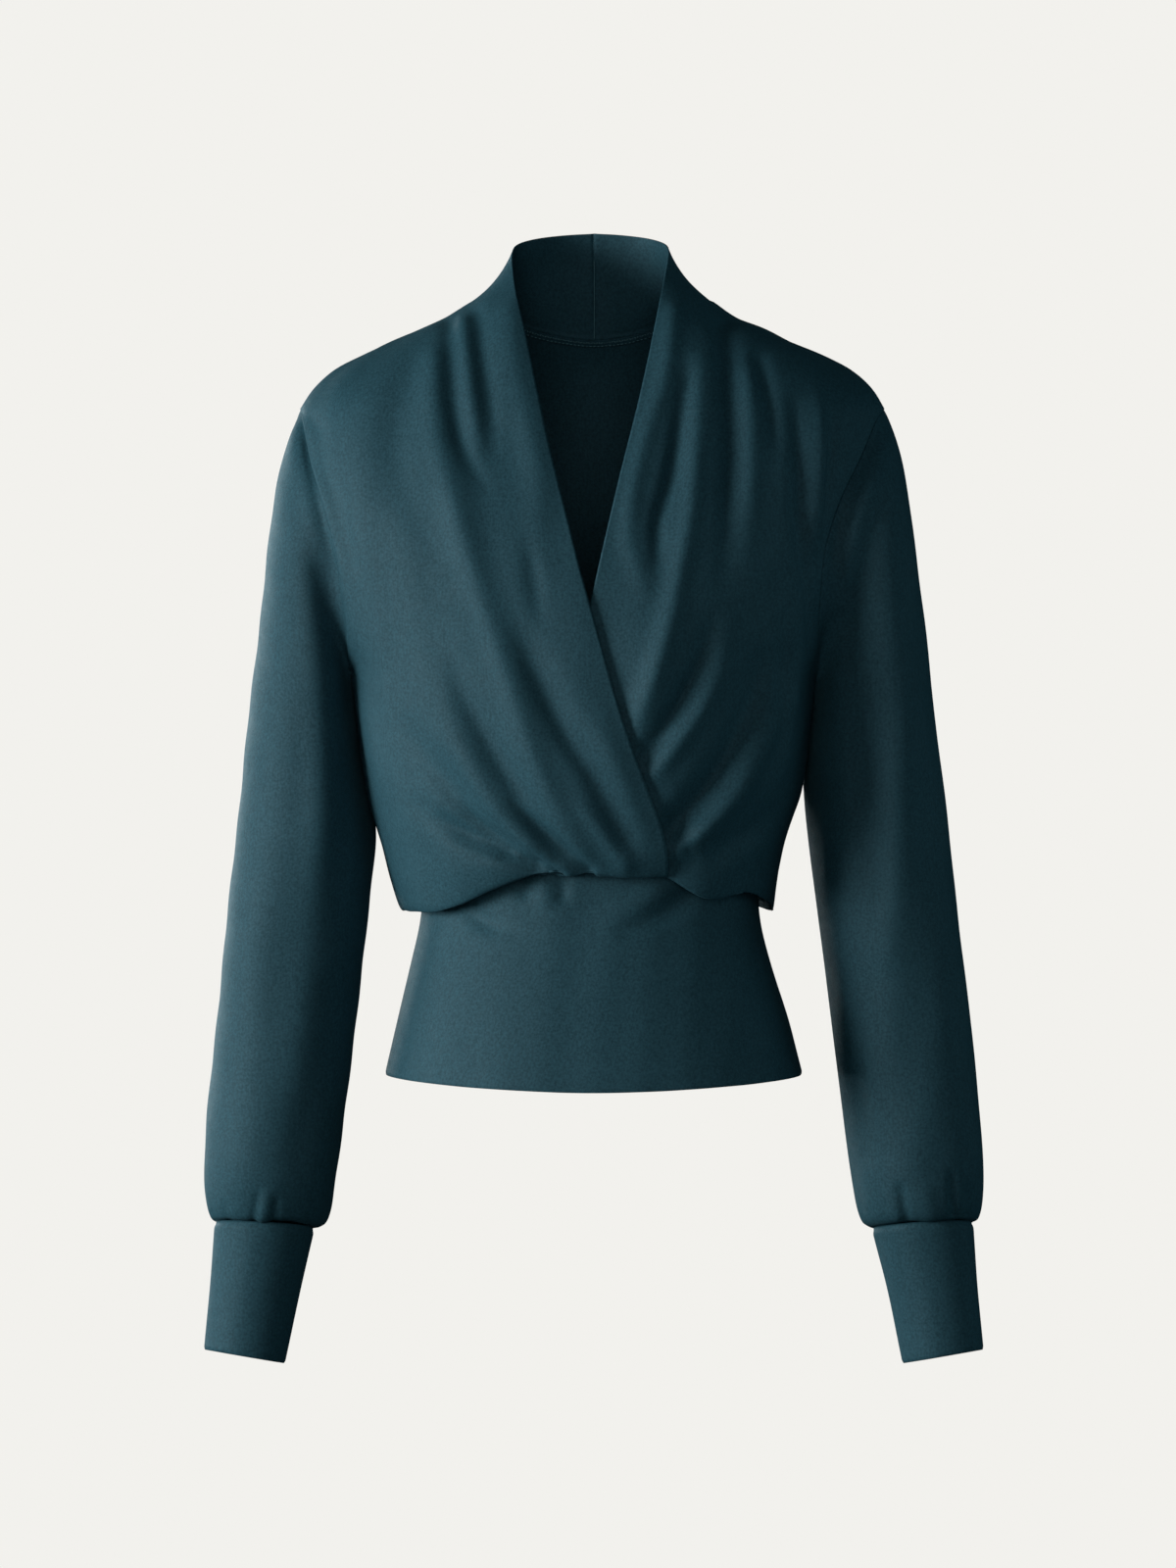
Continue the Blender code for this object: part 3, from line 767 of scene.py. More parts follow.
EDGES = (
    Edge(.0455, -.0450, -.0848, -.3450),
    Edge(.0460, -.0450, -.0905, -.3495, scallop=0.8),
    Edge(.0465, -.0450, -.0960, -.3505, scallop=1.0),
    Edge(.0470, -.0450, -.1010, -.3430, scallop=0.9),
    Edge(.0450, -.0420, -.1055, -.3250, scallop=0.4),
    Edge(.0323, -.0300, -.1095, -.2910),
    Edge(.0205, -.0190, -.1115, -.2580),
    Edge(.0100, -.0100, -.1115, -.2230),
    Edge(.0050, -.0075, -.1100, -.2050),
    Edge(-.0020, -.0030, -.1075, -.1800),
    Edge(-.0105, .0035, -.1025, -.1500),
    Edge(-.0165, .0095, -.0970, -.1240),
    Edge(-.0235, .0158, -.0895, -.0970),
    Edge(-.0300, .0225, -.0810, -.0700, 2.20, 1.6),
    Edge(-.0326, .0259, -.0770, -.0565, 2.16, 1.52),
    Edge(-.0335, .0270, -.0755, -.0520, 2.15, 1.5),
    Edge(-.0375, .0312, -.0690, -.0340, 2.10, 1.4),
    Edge(-.0415, .0355, -.0610, -.0140, 2.00, 1.3),
    Edge(-.0454, .0392, -.0520, .0045, 1.85, 1.2),
    Edge(-.0505, .0432, -.0360, .0255, 1.60, 1.1),
    Edge(-.0540, .0480, -.0120, .0475, 1.30, 0.9),
    Edge(-.0538, .0500, .0090, .0600, 1.20, 0.9),
    Edge(-.0470, .0452, .0280, .0665, 1.20, 0.9),
    Edge(-.0275, .0272, .0430, .0715, 1.20, 0.9),
    Edge(-.0004, .0004, .0480, .0735, 1.20, 0.9),
)
OUTLINE_NAMES = [outline.name for outline in OUTLINES]
BLOUSE = OUTLINE_NAMES.index("blouse")
ARMPIT = OUTLINE_NAMES.index("armpit")
SHOULDER_POINT = OUTLINE_NAMES.index("shoulder point")
NECK_POINT = OUTLINE_NAMES.index("neck point")
COLLAR_END = len(EDGES) - 1
CORNERS = (0, ARMPIT, SHOULDER_POINT, NECK_POINT)
RIM_LIP = OUTLINE_NAMES.index("fold lip")
RIM_SPREAD = 3.2


@dataclass(frozen=True)
class BodicePattern:
    """The bodice's boundaries, and the surfaces between them."""

    roundness: float = 2.25
    section_fall: float = 1.6
    scallop_from: float = 0.30
    scallop_spread: float = 0.55
    seam_half_gap: float = 0.00004

    def outline(self, name: str, at: np.ndarray) -> np.ndarray:
        """Read a named column of the sewn boundary."""
        return read_cornered([getattr(row, name) for row in OUTLINES], at, CORNERS)

    def edge(self, name: str, at: np.ndarray) -> np.ndarray:
        """Read a named column of the wrap edge."""
        return read_column([getattr(row, name) for row in EDGES], at)

    def sections(self, start: np.ndarray, end: np.ndarray, widest_y: np.ndarray, far_x: np.ndarray,
                 edge_x: np.ndarray, roundness: np.ndarray, fall: np.ndarray,
                 scallop: np.ndarray) -> np.ndarray:
        """Superellipse sections from start towards end, finely sampled.

        Args:
            start: Rows of x, y and z of the sewn ends.
            end: Rows of x, y and z of the middle or the edge.
            widest_y: Depth where each section is widest.
            far_x: Half width of the other side, for a section that goes on past the middle.
            edge_x: Where such a section ends.
            roundness: Exponent of each section.
            fall: How late each leaves the height of its outer end.
            scallop: How much of its lower rim is held up in the middle.

        Returns:
            The points of each section.
        """
        column = (slice(None), None)
        deep = np.clip(power((start[1] - widest_y) / (end[1] - widest_y), roundness / 2), 0, 1)
        first_turn = np.arcsin(deep)
        wide = power(np.cos(first_turn), 2 / roundness)
        half_width = (start[0] - end[0]) / wide
        past = np.where(edge_x * start[0] < 0, np.abs(edge_x) / far_x, 0) ** (roundness / 2)
        last_turn = np.pi / 2 + np.arcsin(past)
        share = np.linspace(0, 1, SECTION_SAMPLES)
        turn = first_turn[column] + (last_turn - first_turn)[column] * share
        exponent = (2 / roundness)[column]
        across = power(np.cos(turn), exponent)
        forward = power(np.sin(turn), exponent)
        reach = np.where(across >= 0, half_width[column], (np.sign(start[0]) * far_x)[column])
        kept = np.clip(across / wide[column], 0, 1)
        hanging = soft_step((kept - self.scallop_from) / self.scallop_spread)
        kept = kept ** fall[column] * (1 - scallop[column]) + hanging * scallop[column]
        x = end[0][column] + reach * across
        y = widest_y[column] + (end[1] - widest_y)[column] * forward
        z = end[2][column] + (start[2] - end[2])[column] * kept
        return np.stack((x, y, z), axis=-1)

    def back_half(self, side: Side, levels: np.ndarray, shares: np.ndarray, trim: float) -> np.ndarray:
        """Half of the back, from its sewn boundary to the centre back.

        Args:
            side: Which half.
            levels: The level of each row.
            shares: The share of each column.
            trim: What is cut off at the seam.

        Returns:
            The grid.
        """
        levels = np.asarray(levels, float)
        flat = np.zeros(len(levels))
        start = np.array((side.value * self.outline("back_" + side.word + "_x", levels),
                          self.outline("back_y", levels), self.outline("z", levels)))
        end = np.array((flat, self.outline("centre_back_y", levels), self.outline("centre_back_z", levels)))
        points = self.sections(start, end, self.outline("widest_y", levels), flat + 1, flat,
                               flat + self.roundness, flat + self.section_fall, flat)
        return spaced(points, shares, trim)

    def back(self, levels: np.ndarray, shares: np.ndarray) -> np.ndarray:
        """The whole back, from the wearer's right to the left.

        Args:
            levels: The level of each row.
            shares: The share of each column.

        Returns:
            The grid.
        """
        trim = self.seam_half_gap
        right_half = self.back_half(Side.RIGHT, levels, np.minimum(shares, 0.5) * 2, trim)
        left_half = self.back_half(Side.LEFT, levels, np.minimum(1 - shares, 0.5) * 2, trim)
        return np.where((shares <= 0.5)[None, :, None], right_half, left_half)

    def front_boundary(self, side: Side, levels: np.ndarray) -> np.ndarray:
        """A front's side seam, armhole, shoulder seam and collar foot.

        Args:
            side: Which front.
            levels: The levels to read.

        Returns:
            Rows of x, y and z.
        """
        body = np.minimum(levels, NECK_POINT)
        boundary = np.array((side.value * self.outline(side.word + "_x", body),
                             self.outline("front_y", body), self.outline("z", body)))
        round_neck = np.maximum(levels - NECK_POINT, 0) / (COLLAR_END - NECK_POINT)
        neck_seam = self.back_half(side, np.array([float(NECK_POINT)]), round_neck, 0)[0].T
        return np.where(levels > NECK_POINT, neck_seam, boundary)

    def front(self, side: Side, levels: np.ndarray, shares: np.ndarray, trim: float) -> np.ndarray:
        """The surface of one front with its half of the collar.

        Args:
            side: Which front.
            levels: The level of each row.
            shares: The share of each column.
            trim: What is cut off at the seam.

        Returns:
            The grid.
        """
        start = self.front_boundary(side, levels)
        edge_x = self.edge("over_x" if side is Side.RIGHT else "under_x", levels)
        end_x = np.where(edge_x * side.value > 0, edge_x, 0)
        end = np.array((end_x, self.edge("y", levels), self.edge("z", levels)))
        body = np.minimum(levels, NECK_POINT)
        widest_y = np.where(levels > NECK_POINT, start[1], self.outline("widest_y", body))
        far_x = self.outline(side.other.word + "_x", body)
        points = self.sections(start, end, widest_y, far_x, edge_x, self.edge("roundness", levels),
                               self.edge("fall", levels), self.edge("scallop", levels))
        grid = spaced(points, shares, trim)
        collar = (levels > NECK_POINT)[:, None]
        kept_aside = side.value * np.maximum(side.value * grid[:, :, 0], self.seam_half_gap)
        grid[:, :, 0] = np.where(collar, kept_aside, grid[:, :, 0])
        return grid

    def armhole(self, side: Side, count: int) -> np.ndarray:
        """The armhole seam, from the shoulder point down the front and up the back.

        Args:
            side: Which armhole.
            count: How many points.

        Returns:
            The points.
        """
        down = np.linspace(SHOULDER_POINT, ARMPIT, count // 2 + 1)
        front = self.front(side, down, np.zeros(1), 0)[:-1, 0]
        rear = self.back_half(side, down[::-1], np.zeros(1), 0)[:-1, 0]
        return np.concatenate((front, rear))


def level_rows(stretches: tuple[tuple[int, int, int], ...]) -> np.ndarray:
    """Level numbers of a grid's rows.

    Args:
        stretches: The first level, the last level and the number of steps of each stretch.

    Returns:
        The levels, one a row.
    """
    rows = [np.linspace(first, last, steps, endpoint=False) for first, last, steps in stretches]
    return np.concatenate(rows + [[float(stretches[-1][1])]])


def at_rim(levels: np.ndarray) -> np.ndarray:
    """How much each level belongs to the hanging rim of the blouse."""
    return soft_step(levels) * (1 - soft_step((levels - RIM_LIP) / RIM_SPREAD))


WEARERS_RIGHT_FOLDS = (
    # pleats that fall from the shoulder beside the collar
    Fold(.0026, .0100, .8, .2, ((-.054, .012), (-.049, -.029), (-.041, -.066), (-.034, -.104),
                                (-.035, -.146))),
    Fold(-.0028, .0066, .9, .0, ((-.076, .012), (-.070, -.029), (-.066, -.060), (-.064, -.090))),
    Fold(-.0020, .0060, .2, .2, ((-.042, -.135), (-.0385, -.160), (-.034, -.188))),
    Fold(.0020, .0060, .7, .2, ((-.083, .006), (-.079, -.035), (-.073, -.072))),
    Fold(-.0030, .0060, .9, .2, ((-.094, .008), (-.091, -.040), (-.085, -.072), (-.070, -.104))),
    Fold(-.0020, .0110, .5, .2, ((-.115, -.020), (-.126, -.066), (-.120, -.104), (-.103, -.141))),
    Fold(.0014, .0140, .4, .2, ((-.160, -.030), (-.153, -.085), (-.131, -.141))),
    Fold(-.0018, .0060, .7, .4, ((-.178, -.062), (-.173, -.092), (-.164, -.124), (-.156, -.150))),
    # the long fold from the shoulder to the waist
    Fold(.0034, .0100, .7, .5, ((-.103, -.020), (-.100, -.066), (-.086, -.122), (-.069, -.179),
                                (-.051, -.235), (-.031, -.291), (-.010, -.332))),
    # folds that are drawn from the chest to the crossing and the waist
    Fold(-.0052, .0088, .1, .5, ((-.050, -.188), (-.039, -.216), (-.021, -.254), (.002, -.291),
                                 (.019, -.326)), -.2),
    Fold(.0020, .0085, .2, .6, ((.002, -.245), (.016, -.285), (.030, -.322))),
    Fold(-.0040, .0085, .1, .7, ((-.092, -.205), (-.082, -.235), (-.064, -.272), (-.039, -.310),
                                 (-.022, -.336)), -.2),
    Fold(.0026, .0095, .2, .8, ((-.106, -.210), (-.093, -.254), (-.073, -.291), (-.045, -.329))),
    Fold(-.0030, .0085, .1, .8, ((-.122, -.245), (-.109, -.272), (-.078, -.310), (-.055, -.332)), -.2),
    # short sharp tucks at the waist
    Fold(-.0018, .0080, .1, .6, ((-.120, -.300), (-.096, -.316), (-.070, -.332)), -.2),
    Fold(-.0036, .0050, .0, .9, ((-.102, -.310), (-.086, -.3205), (-.062, -.333), (-.037, -.344)), .2),
    Fold(-.0044, .0050, .1, 1.0, ((-.086, -.3045), (-.067, -.3200), (-.044, -.3345), (-.022, -.350)), .42),
    Fold(-.0046, .0048, .1, 1.0, ((-.056, -.2985), (-.040, -.3140), (-.020, -.3305), (-.003, -.346)), .42),
    Fold(.0025, .0060, .2, .9, ((-.012, -.300), (.006, -.322), (.020, -.342))),
)
WEARERS_LEFT_FOLDS = (
    Fold(.0026, .0068, .9, .3, ((.051, .012), (.046, -.029), (.034, -.066), (.025, -.104),
                                (.022, -.132), (.032, -.168))),
    Fold(-.0048, .0052, .3, .3, ((.060, -.030), (.055, -.060), (.049, -.095), (.040, -.130),
                                 (.040, -.150))),
    Fold(.0046, .0078, .4, .6, ((.068, -.020), (.066, -.066), (.062, -.110), (.053, -.160),
                                (.045, -.197), (.033, -.235), (.024, -.256))),
    Fold(-.0048, .0075, 1.0, .1, ((.084, .006), (.087, -.035), (.088, -.080), (.085, -.122),
                                  (.081, -.165))),
    Fold(.0022, .0070, .4, .2, ((.098, -.030), (.101, -.070), (.100, -.110), (.096, -.150))),
    Fold(-.0032, .0052, .7, .2, ((.106, -.018), (.112, -.047), (.117, -.078))),
    Fold(-.0042, .0055, .4, .2, ((.129, -.048), (.131, -.085), (.133, -.120), (.138, -.150))),
    Fold(.0042, .0055, .1, .2, ((.1430, -.034), (.1450, -.060), (.1450, -.085), (.1430, -.115),
                                (.1420, -.145))),
    Fold(-.0036, .0036, .1, .2, ((.1530, -.044), (.1525, -.070), (.1505, -.095), (.1470, -.125))),
    Fold(.0014, .0070, .2, .3, ((.125, -.140), (.126, -.180), (.125, -.225))),
    Fold(-.0022, .0038, .3, .3, ((.121, -.185), (.120, -.225), (.119, -.265))),
    Fold(-.0026, .0042, .3, .3, ((.127, -.108), (.131, -.138), (.136, -.168), (.138, -.198))),
    Fold(.0022, .0050, .2, .3, ((.133, -.160), (.130, -.200), (.127, -.245), (.121, -.285))),
    # deep folds that are drawn to the crossing
    Fold(.0042, .0170, .2, .5, ((.062, -.120), (.060, -.160), (.054, -.190), (.046, -.220), (.037, -.245))),
    Fold(-.0052, .0065, .2, .5, ((.074, -.190), (.066, -.216), (.057, -.235), (.046, -.254),
                                 (.034, -.274))),
    Fold(.0044, .0070, .2, .5, ((.085, -.190), (.080, -.216), (.066, -.247), (.048, -.272), (.038, -.284))),
    Fold(-.0080, .0095, .1, .7, ((.108, -.200), (.103, -.235), (.087, -.272), (.062, -.310),
                                 (.048, -.324)), .2),
    Fold(.0062, .0085, .3, .6, ((.122, -.240), (.103, -.272), (.089, -.298), (.068, -.320), (.056, -.330))),
    Fold(-.0026, .0080, .3, .6, ((.122, -.300), (.104, -.322), (.080, -.338))),
    Fold(-.0030, .0070, .3, .7, ((.050, -.312), (.057, -.326), (.061, -.340))),
)
FRONT_FOLDS = {Side.RIGHT: WEARERS_RIGHT_FOLDS, Side.LEFT: WEARERS_LEFT_FOLDS}
BACK_FOLDS = (
    Fold(-.0050, .0130, .2, .9, ((-.085, -.200), (-.078, -.250), (-.060, -.300), (-.050, -.350))),
    Fold(-.0045, .0110, .1, .9, ((.080, -.190), (.082, -.250), (.066, -.300), (.058, -.350)), .2),
    Fold(-.0038, .0120, .1, .9, ((.006, -.240), (.002, -.290), (-.006, -.352))),
    Fold(.0030, .0110, .1, .8, ((-.040, -.250), (-.034, -.300), (-.030, -.346))),
    Fold(.0032, .0120, .1, .8, ((.036, -.230), (.034, -.290), (.026, -.346))),
    Fold(-.0034, .0080, .2, 1.0, ((-.108, -.270), (-.098, -.310), (-.084, -.356))),
    Fold(-.0034, .0080, .2, 1.0, ((.108, -.265), (.102, -.310), (.090, -.356))),
    Fold(-.0026, .0150, .3, .1, ((-.120, -.050), (-.105, -.100), (-.080, -.150))),
    Fold(-.0026, .0150, .3, .1, ((.118, -.055), (.100, -.105), (.074, -.160))),
    Fold(-.0022, .0050, .2, 1.0, ((-.020, -.318), (-.024, -.336), (-.026, -.356))),
    Fold(-.0022, .0050, .2, 1.0, ((.044, -.316), (.046, -.336), (.044, -.356))),
)


@dataclass
class BodicePanel:
    """What fronts and back share: how their sections are softened and their folds laid."""

    pattern: BodicePattern
    wall: float = 0.0010
    settle_rounds: int = 70
    still_above_waist: float = 2.0
    still_below_top: float = 1.2
    lip_rounds: int = 12
    lip_reach: float = 0.8
    seam_lip: float = 0.00025

    def soften(self, cloth: Cloth, levels: np.ndarray, top: int, at_seams: np.ndarray) -> None:
        """Smooth the panel up and down, and then round the blouse's lip.

        Args:
            cloth: The panel.
            levels: The level of each row.
            top: The last level, which stays as it is.
            at_seams: What stays of each point because of a seam beside it.
        """
        rows = 1 - soft_step((levels - BLOUSE) / self.still_above_waist)
        rows = np.maximum(rows, soft_step(levels - top + self.still_below_top))
        cloth.settle(self.settle_rounds, np.maximum(rows[:, None], at_seams))
        cloth.settle(self.lip_rounds, soft_step((levels - BLOUSE) / self.lip_reach)[:, None])

    def lay_folds(self, cloth: Cloth, folds: tuple[Fold, ...], seed: int, strength: np.ndarray) -> None:
        """Lay the folds, with the ripples between them.

        Args:
            cloth: The panel.
            folds: Its folds.
            seed: What its ripples are drawn from.
            strength: How much of them each point takes.
        """
        drape = Drape()
        height = drape.heights(folds, cloth.points) + drape.ripples(cloth.points, seed)
        cloth.move_out(height * strength)


@dataclass
class WrapFronts(BodicePanel):
    """Both fronts, each with its half of the standing collar, the wearer's right one on top."""

    columns: int = 118
    usual_width: float = 0.24
    stretches: tuple[tuple[int, int, int], ...] = (
        (0, BLOUSE, 34), (BLOUSE, ARMPIT, 62), (ARMPIT, SHOULDER_POINT, 88),
        (SHOULDER_POINT, NECK_POINT, 60), (NECK_POINT, COLLAR_END, 42))
    seam_still: tuple[float, float] = (0.01, 0.10)
    neck_still: tuple[float, float] = (0.7, 0.30)
    fade_at_waist: float = 1.8
    fade_at_side: float = 0.014
    fade_at_shoulder: float = 0.006
    seam_dip: float = 0.0005
    centre_reach: float = 0.0007
    armhole_rise: float = 0.0003
    armhole_starts: float = 1.5
    ripple_seed: int = 3
    lap_gap: float = 0.0020
    lap_probes: tuple[tuple[float, float], ...] = ((0, 0), (.005, 0), (-.005, 0), (0, -.005), (0, .005))
    lap_lift: float = 0.0016
    lap_end_x: float = 0.040
    lap_blend: float = 0.016
    lap_spread: int = 160
    lap_above_waist: float = 1.5
    lap_deepest_y: float = -0.060
    lap_far_x: float = 0.075
    lap_top_z: float = -0.12
    rim_rise: float = 0.0125
    rim_middle_x: float = 0.098
    rim_width: float = 0.017
    rim_fade: float = 0.018
    cut: Cut = Cut(.310, .600, .0940, Held.GATHERED, ("bodice_back",))

    def panel(self, side: Side) -> Cloth:
        """One front with its folds, before the lap.

        Args:
            side: Which front.

        Returns:
            The cloth.
        """
        levels = level_rows(self.stretches)
        shares = seam_shares(self.columns, True, False, self.usual_width)
        points = self.pattern.front(side, levels, shares, self.pattern.seam_half_gap)
        cloth = Cloth("wrap_front_" + side.word, "front_" + side.word, "jersey", points, self.wall,
                      turned=side is Side.LEFT)
        first, width = self.seam_still
        columns = 1 - soft_step((shares - first) / width)
        rows_near, columns_near = self.neck_still
        near_neck = np.exp(-((levels - NECK_POINT) / rows_near) ** 2)[:, None]
        corner = near_neck * (1 - soft_step(shares / columns_near))
        self.soften(cloth, levels, COLLAR_END, np.maximum(columns, corner))
        neck_row = int(np.argmin(np.abs(levels - NECK_POINT)))
        cloth.keep_still([cloth.points[neck_row, 0]])

        from_seam = lengths_across(cloth.points)
        on_shoulder = soft_step((levels - SHOULDER_POINT) / 2)
        fade = (self.fade_at_side + (self.fade_at_shoulder - self.fade_at_side) * on_shoulder)[:, None]
        strength = soft_step(levels / self.fade_at_waist)[:, None] * soft_step(from_seam / fade)
        self.lay_folds(cloth, FRONT_FOLDS[side], self.ripple_seed + side.value, strength)
        if side is Side.LEFT:
            self.raise_rim(cloth, levels, from_seam)
        self.sew(cloth, side, levels, from_seam)
        return cloth

    def sew(self, cloth: Cloth, side: Side, levels: np.ndarray, from_seam: np.ndarray) -> None:
        """Sink a front into its seams, and chart it on the knit.

        Args:
            cloth: The front.
            side: Which front it is.
            levels: The level of each row.
            from_seam: Each point's distance from the sewn boundary.
        """
        above_armpit = soft_step((levels - ARMPIT) / self.armhole_starts)
        at_armhole = above_armpit * (1 - soft_step(levels - SHOULDER_POINT + 0.5))
        shallower = self.armhole_rise if side is Side.RIGHT else 0.0
        cloth.dip(from_seam, (self.seam_dip - shallower * at_armhole)[:, None], lip=self.seam_lip)
        from_foot = lengths_along(cloth.points)
        cloth.dip(from_foot[-1:] - from_foot, self.seam_dip, self.centre_reach)
        cloth.reach_over(Border.LAST_ROW, Border.FIRST_COLUMN)
        across = lengths_across(cloth.points)
        round_from_middle = across[:, -1:] - across + side.value * cloth.points[:, -1:, 0]
        height = cloth.points[:, :, 2] + cloth.points[:, :, 1]
        cloth.chart = np.stack((side.value * round_from_middle, height), axis=2)

    def raise_rim(self, cloth: Cloth, levels: np.ndarray, from_seam: np.ndarray) -> None:
        """Draw the blouse's rim up beside the side seam, where its folds are pulled to the crossing.

        Args:
            cloth: The front.
            levels: The level of each row.
            from_seam: Each point's distance from the sewn boundary.
        """
        off_middle = (cloth.points[:, :, 0] - self.rim_middle_x) / self.rim_width
        near = np.exp(-off_middle ** 2) * soft_step(from_seam / self.rim_fade)
        cloth.points[:, :, 2] += self.rim_rise * near * at_rim(levels)[:, None]

    def lay_under(self, under: Cloth, over: Cloth) -> None:
        """Push the lower front back wherever the upper one lies on it, with room between them.

        Args:
            under: The lower front.
            over: The upper front.
        """
        net = grid_net(over.points, over.chart)
        net.verts.index_update()
        corners = [[vertex.index for vertex in face.verts] for face in net.faces]
        tree = BVHTree.FromPolygons([vertex.co for vertex in net.verts], corners)
        net.free()
        levels = level_rows(self.stretches)
        hidden = 1 - soft_step((under.points[:, :, 0] - self.lap_end_x) / self.lap_blend)
        under.points[:, :, 2] += self.lap_lift * hidden * at_rim(levels)[:, None]
        ahead = Vector((0, 1, 0))
        push = np.zeros(under.points.shape[:2])
        for index in np.ndindex(push.shape):
            x, y, z = under.points[index]
            if y > self.lap_deepest_y or x > self.lap_far_x or z > self.lap_top_z:
                continue
            hits = [tree.ray_cast((x + aside, -1, z + above), ahead)[0] for aside, above in self.lap_probes]
            outer = [place.y for place in hits if place is not None]
            if outer:
                push[index] = max(0, max(outer) + self.wall + self.lap_gap - y)
        spread = push
        for _ in range(self.lap_spread):
            padded = np.pad(spread, 1, mode="edge")
            mean = (padded[:-2, 1:-1] + padded[2:, 1:-1] + padded[1:-1, :-2] + padded[1:-1, 2:]) / 4
            spread = np.maximum(push, mean)
        clear_of_waist = soft_step(levels / self.lap_above_waist)[:, None]
        under.points[:, :, 1] += spread * np.maximum(clear_of_waist, hidden)

    def build(self, finish: bpy.types.Material) -> np.ndarray:
        """Make both fronts.

        Args:
            finish: The cloth.

        Returns:
            The collar's centre-back seam, from the collar's foot up.
        """
        over = self.panel(Side.RIGHT)
        under = self.panel(Side.LEFT)
        self.lay_under(under, over)
        over.build(finish, self.cut)
        under.build(finish, self.cut)
        return over.points[-1]


@dataclass
class NeckSeam:
    """The pressed seam inside the back neck, with two rows of coverstitch."""

    half_span: float = 0.056
    allowance: float = 0.0062
    allowance_wall: float = 0.0006
    clearance: float = 0.0001
    strip_rows: int = 7
    strip_columns: int = 90
    strip_top: float = 0.0003
    zigzag_drop: float = 0.0022
    zigzag_slant: float = 38.0
    zigzag_pitch: float = 0.0017
    straight_drop: float = 0.0050
    straight_pitch: float = 0.0026
    stitch_length: float = 0.0019
    stitch_sides: tuple[int, int] = (6, 5)
    thread_radius: float = 0.00030
    thread_sunk: float = 0.5
    seam_pitch: float = 0.0014

    def inside(self, back: Cloth, across: np.ndarray, drop: float, depth: float) -> np.ndarray:
        """Points inside the back.

        Args:
            back: The back.
            across: Where the points are along X.
            drop: How far they lie below the neck edge.
            depth: How far they lie in from the outer side.

        Returns:
            The points.
        """
        inner = back.points - depth * back.normals()
        along = lengths_along(back.points)
        below = (along[-1:] - along)[::-1]
        line = np.array([[np.interp(drop, below[:, column], inner[::-1, column, axis]) for axis in range(3)]
                         for column in range(inner.shape[1])])
        return np.stack([np.interp(across, line[:, 0], line[:, axis]) for axis in range(3)], axis=1)

    def strip(self, back: Cloth, finish: bpy.types.Material) -> bpy.types.Object:
        """The seam allowance, pressed down on the back.

        Args:
            back: The back.
            finish: Its material.

        Returns:
            The object.
        """
        across = np.linspace(-self.half_span, self.half_span, self.strip_columns)
        depth = back.wall + self.clearance
        rows = [self.inside(back, across, drop, depth)
                for drop in np.linspace(self.allowance, self.strip_top, self.strip_rows)]
        return Cloth("neck_seam_allowance", "back", "jersey", np.array(rows), self.allowance_wall,
                     turned=True).make(finish)

    def sew(self, net: bmesh.types.BMesh, places: np.ndarray, slant: float) -> None:
        """Add a row of stitches.

        Args:
            net: Where they are added.
            places: The middle of each, and one place more.
            slant: How far each leans to one side and the next to the other, in degrees.
        """
        segments, rings = self.stitch_sides
        for number, (place, after) in enumerate(zip(places, places[1:])):
            way = Vector(after - place).to_track_quat("X", "Z").to_matrix().to_4x4()
            lean = Matrix.Rotation(math.radians(slant * (-1) ** number), 4, "Y")
            size = Matrix.Diagonal((self.stitch_length / 2 / self.thread_radius, 1, 1, 1))
            bmesh.ops.create_uvsphere(net, u_segments=segments, v_segments=rings, radius=self.thread_radius,
                                      matrix=Matrix.Translation(place) @ way @ lean @ size)

    def stitches(self, back: Cloth, centre: np.ndarray, thread: bpy.types.Material) -> bpy.types.Object:
        """The rows of stitches as one mesh.

        Args:
            back: The back.
            centre: The collar's centre-back seam.
            thread: Their material.

        Returns:
            The object.
        """
        net = bmesh.new()
        depth = back.wall + self.clearance + self.allowance_wall + self.thread_radius * self.thread_sunk
        reach = self.half_span - self.stitch_length
        for drop, pitch, slant in ((self.zigzag_drop, self.zigzag_pitch, self.zigzag_slant),
                                   (self.straight_drop, self.straight_pitch, 0.0)):
            self.sew(net, self.inside(back, np.arange(-reach, reach, pitch), drop, depth), slant)
        length = lengths_across(centre[None])[0]
        at = np.arange(self.stitch_length, length[-1] - self.stitch_length, self.seam_pitch)
        line = np.stack([np.interp(at, length, centre[:, axis]) for axis in range(3)], axis=1)
        self.sew(net, line - np.array((0, back.wall + self.thread_radius, 0)), 0.0)
        return declare(shown(net, "neck_coverstitch", thread), "back", "jersey")

    def build(self, back: Cloth, centre: np.ndarray, finish: bpy.types.Material,
              thread: bpy.types.Material) -> tuple[bpy.types.Object, ...]:
        """Make the allowance and its stitches, with those of the collar's centre-back seam."""
        return self.strip(back, finish), self.stitches(back, centre, thread)


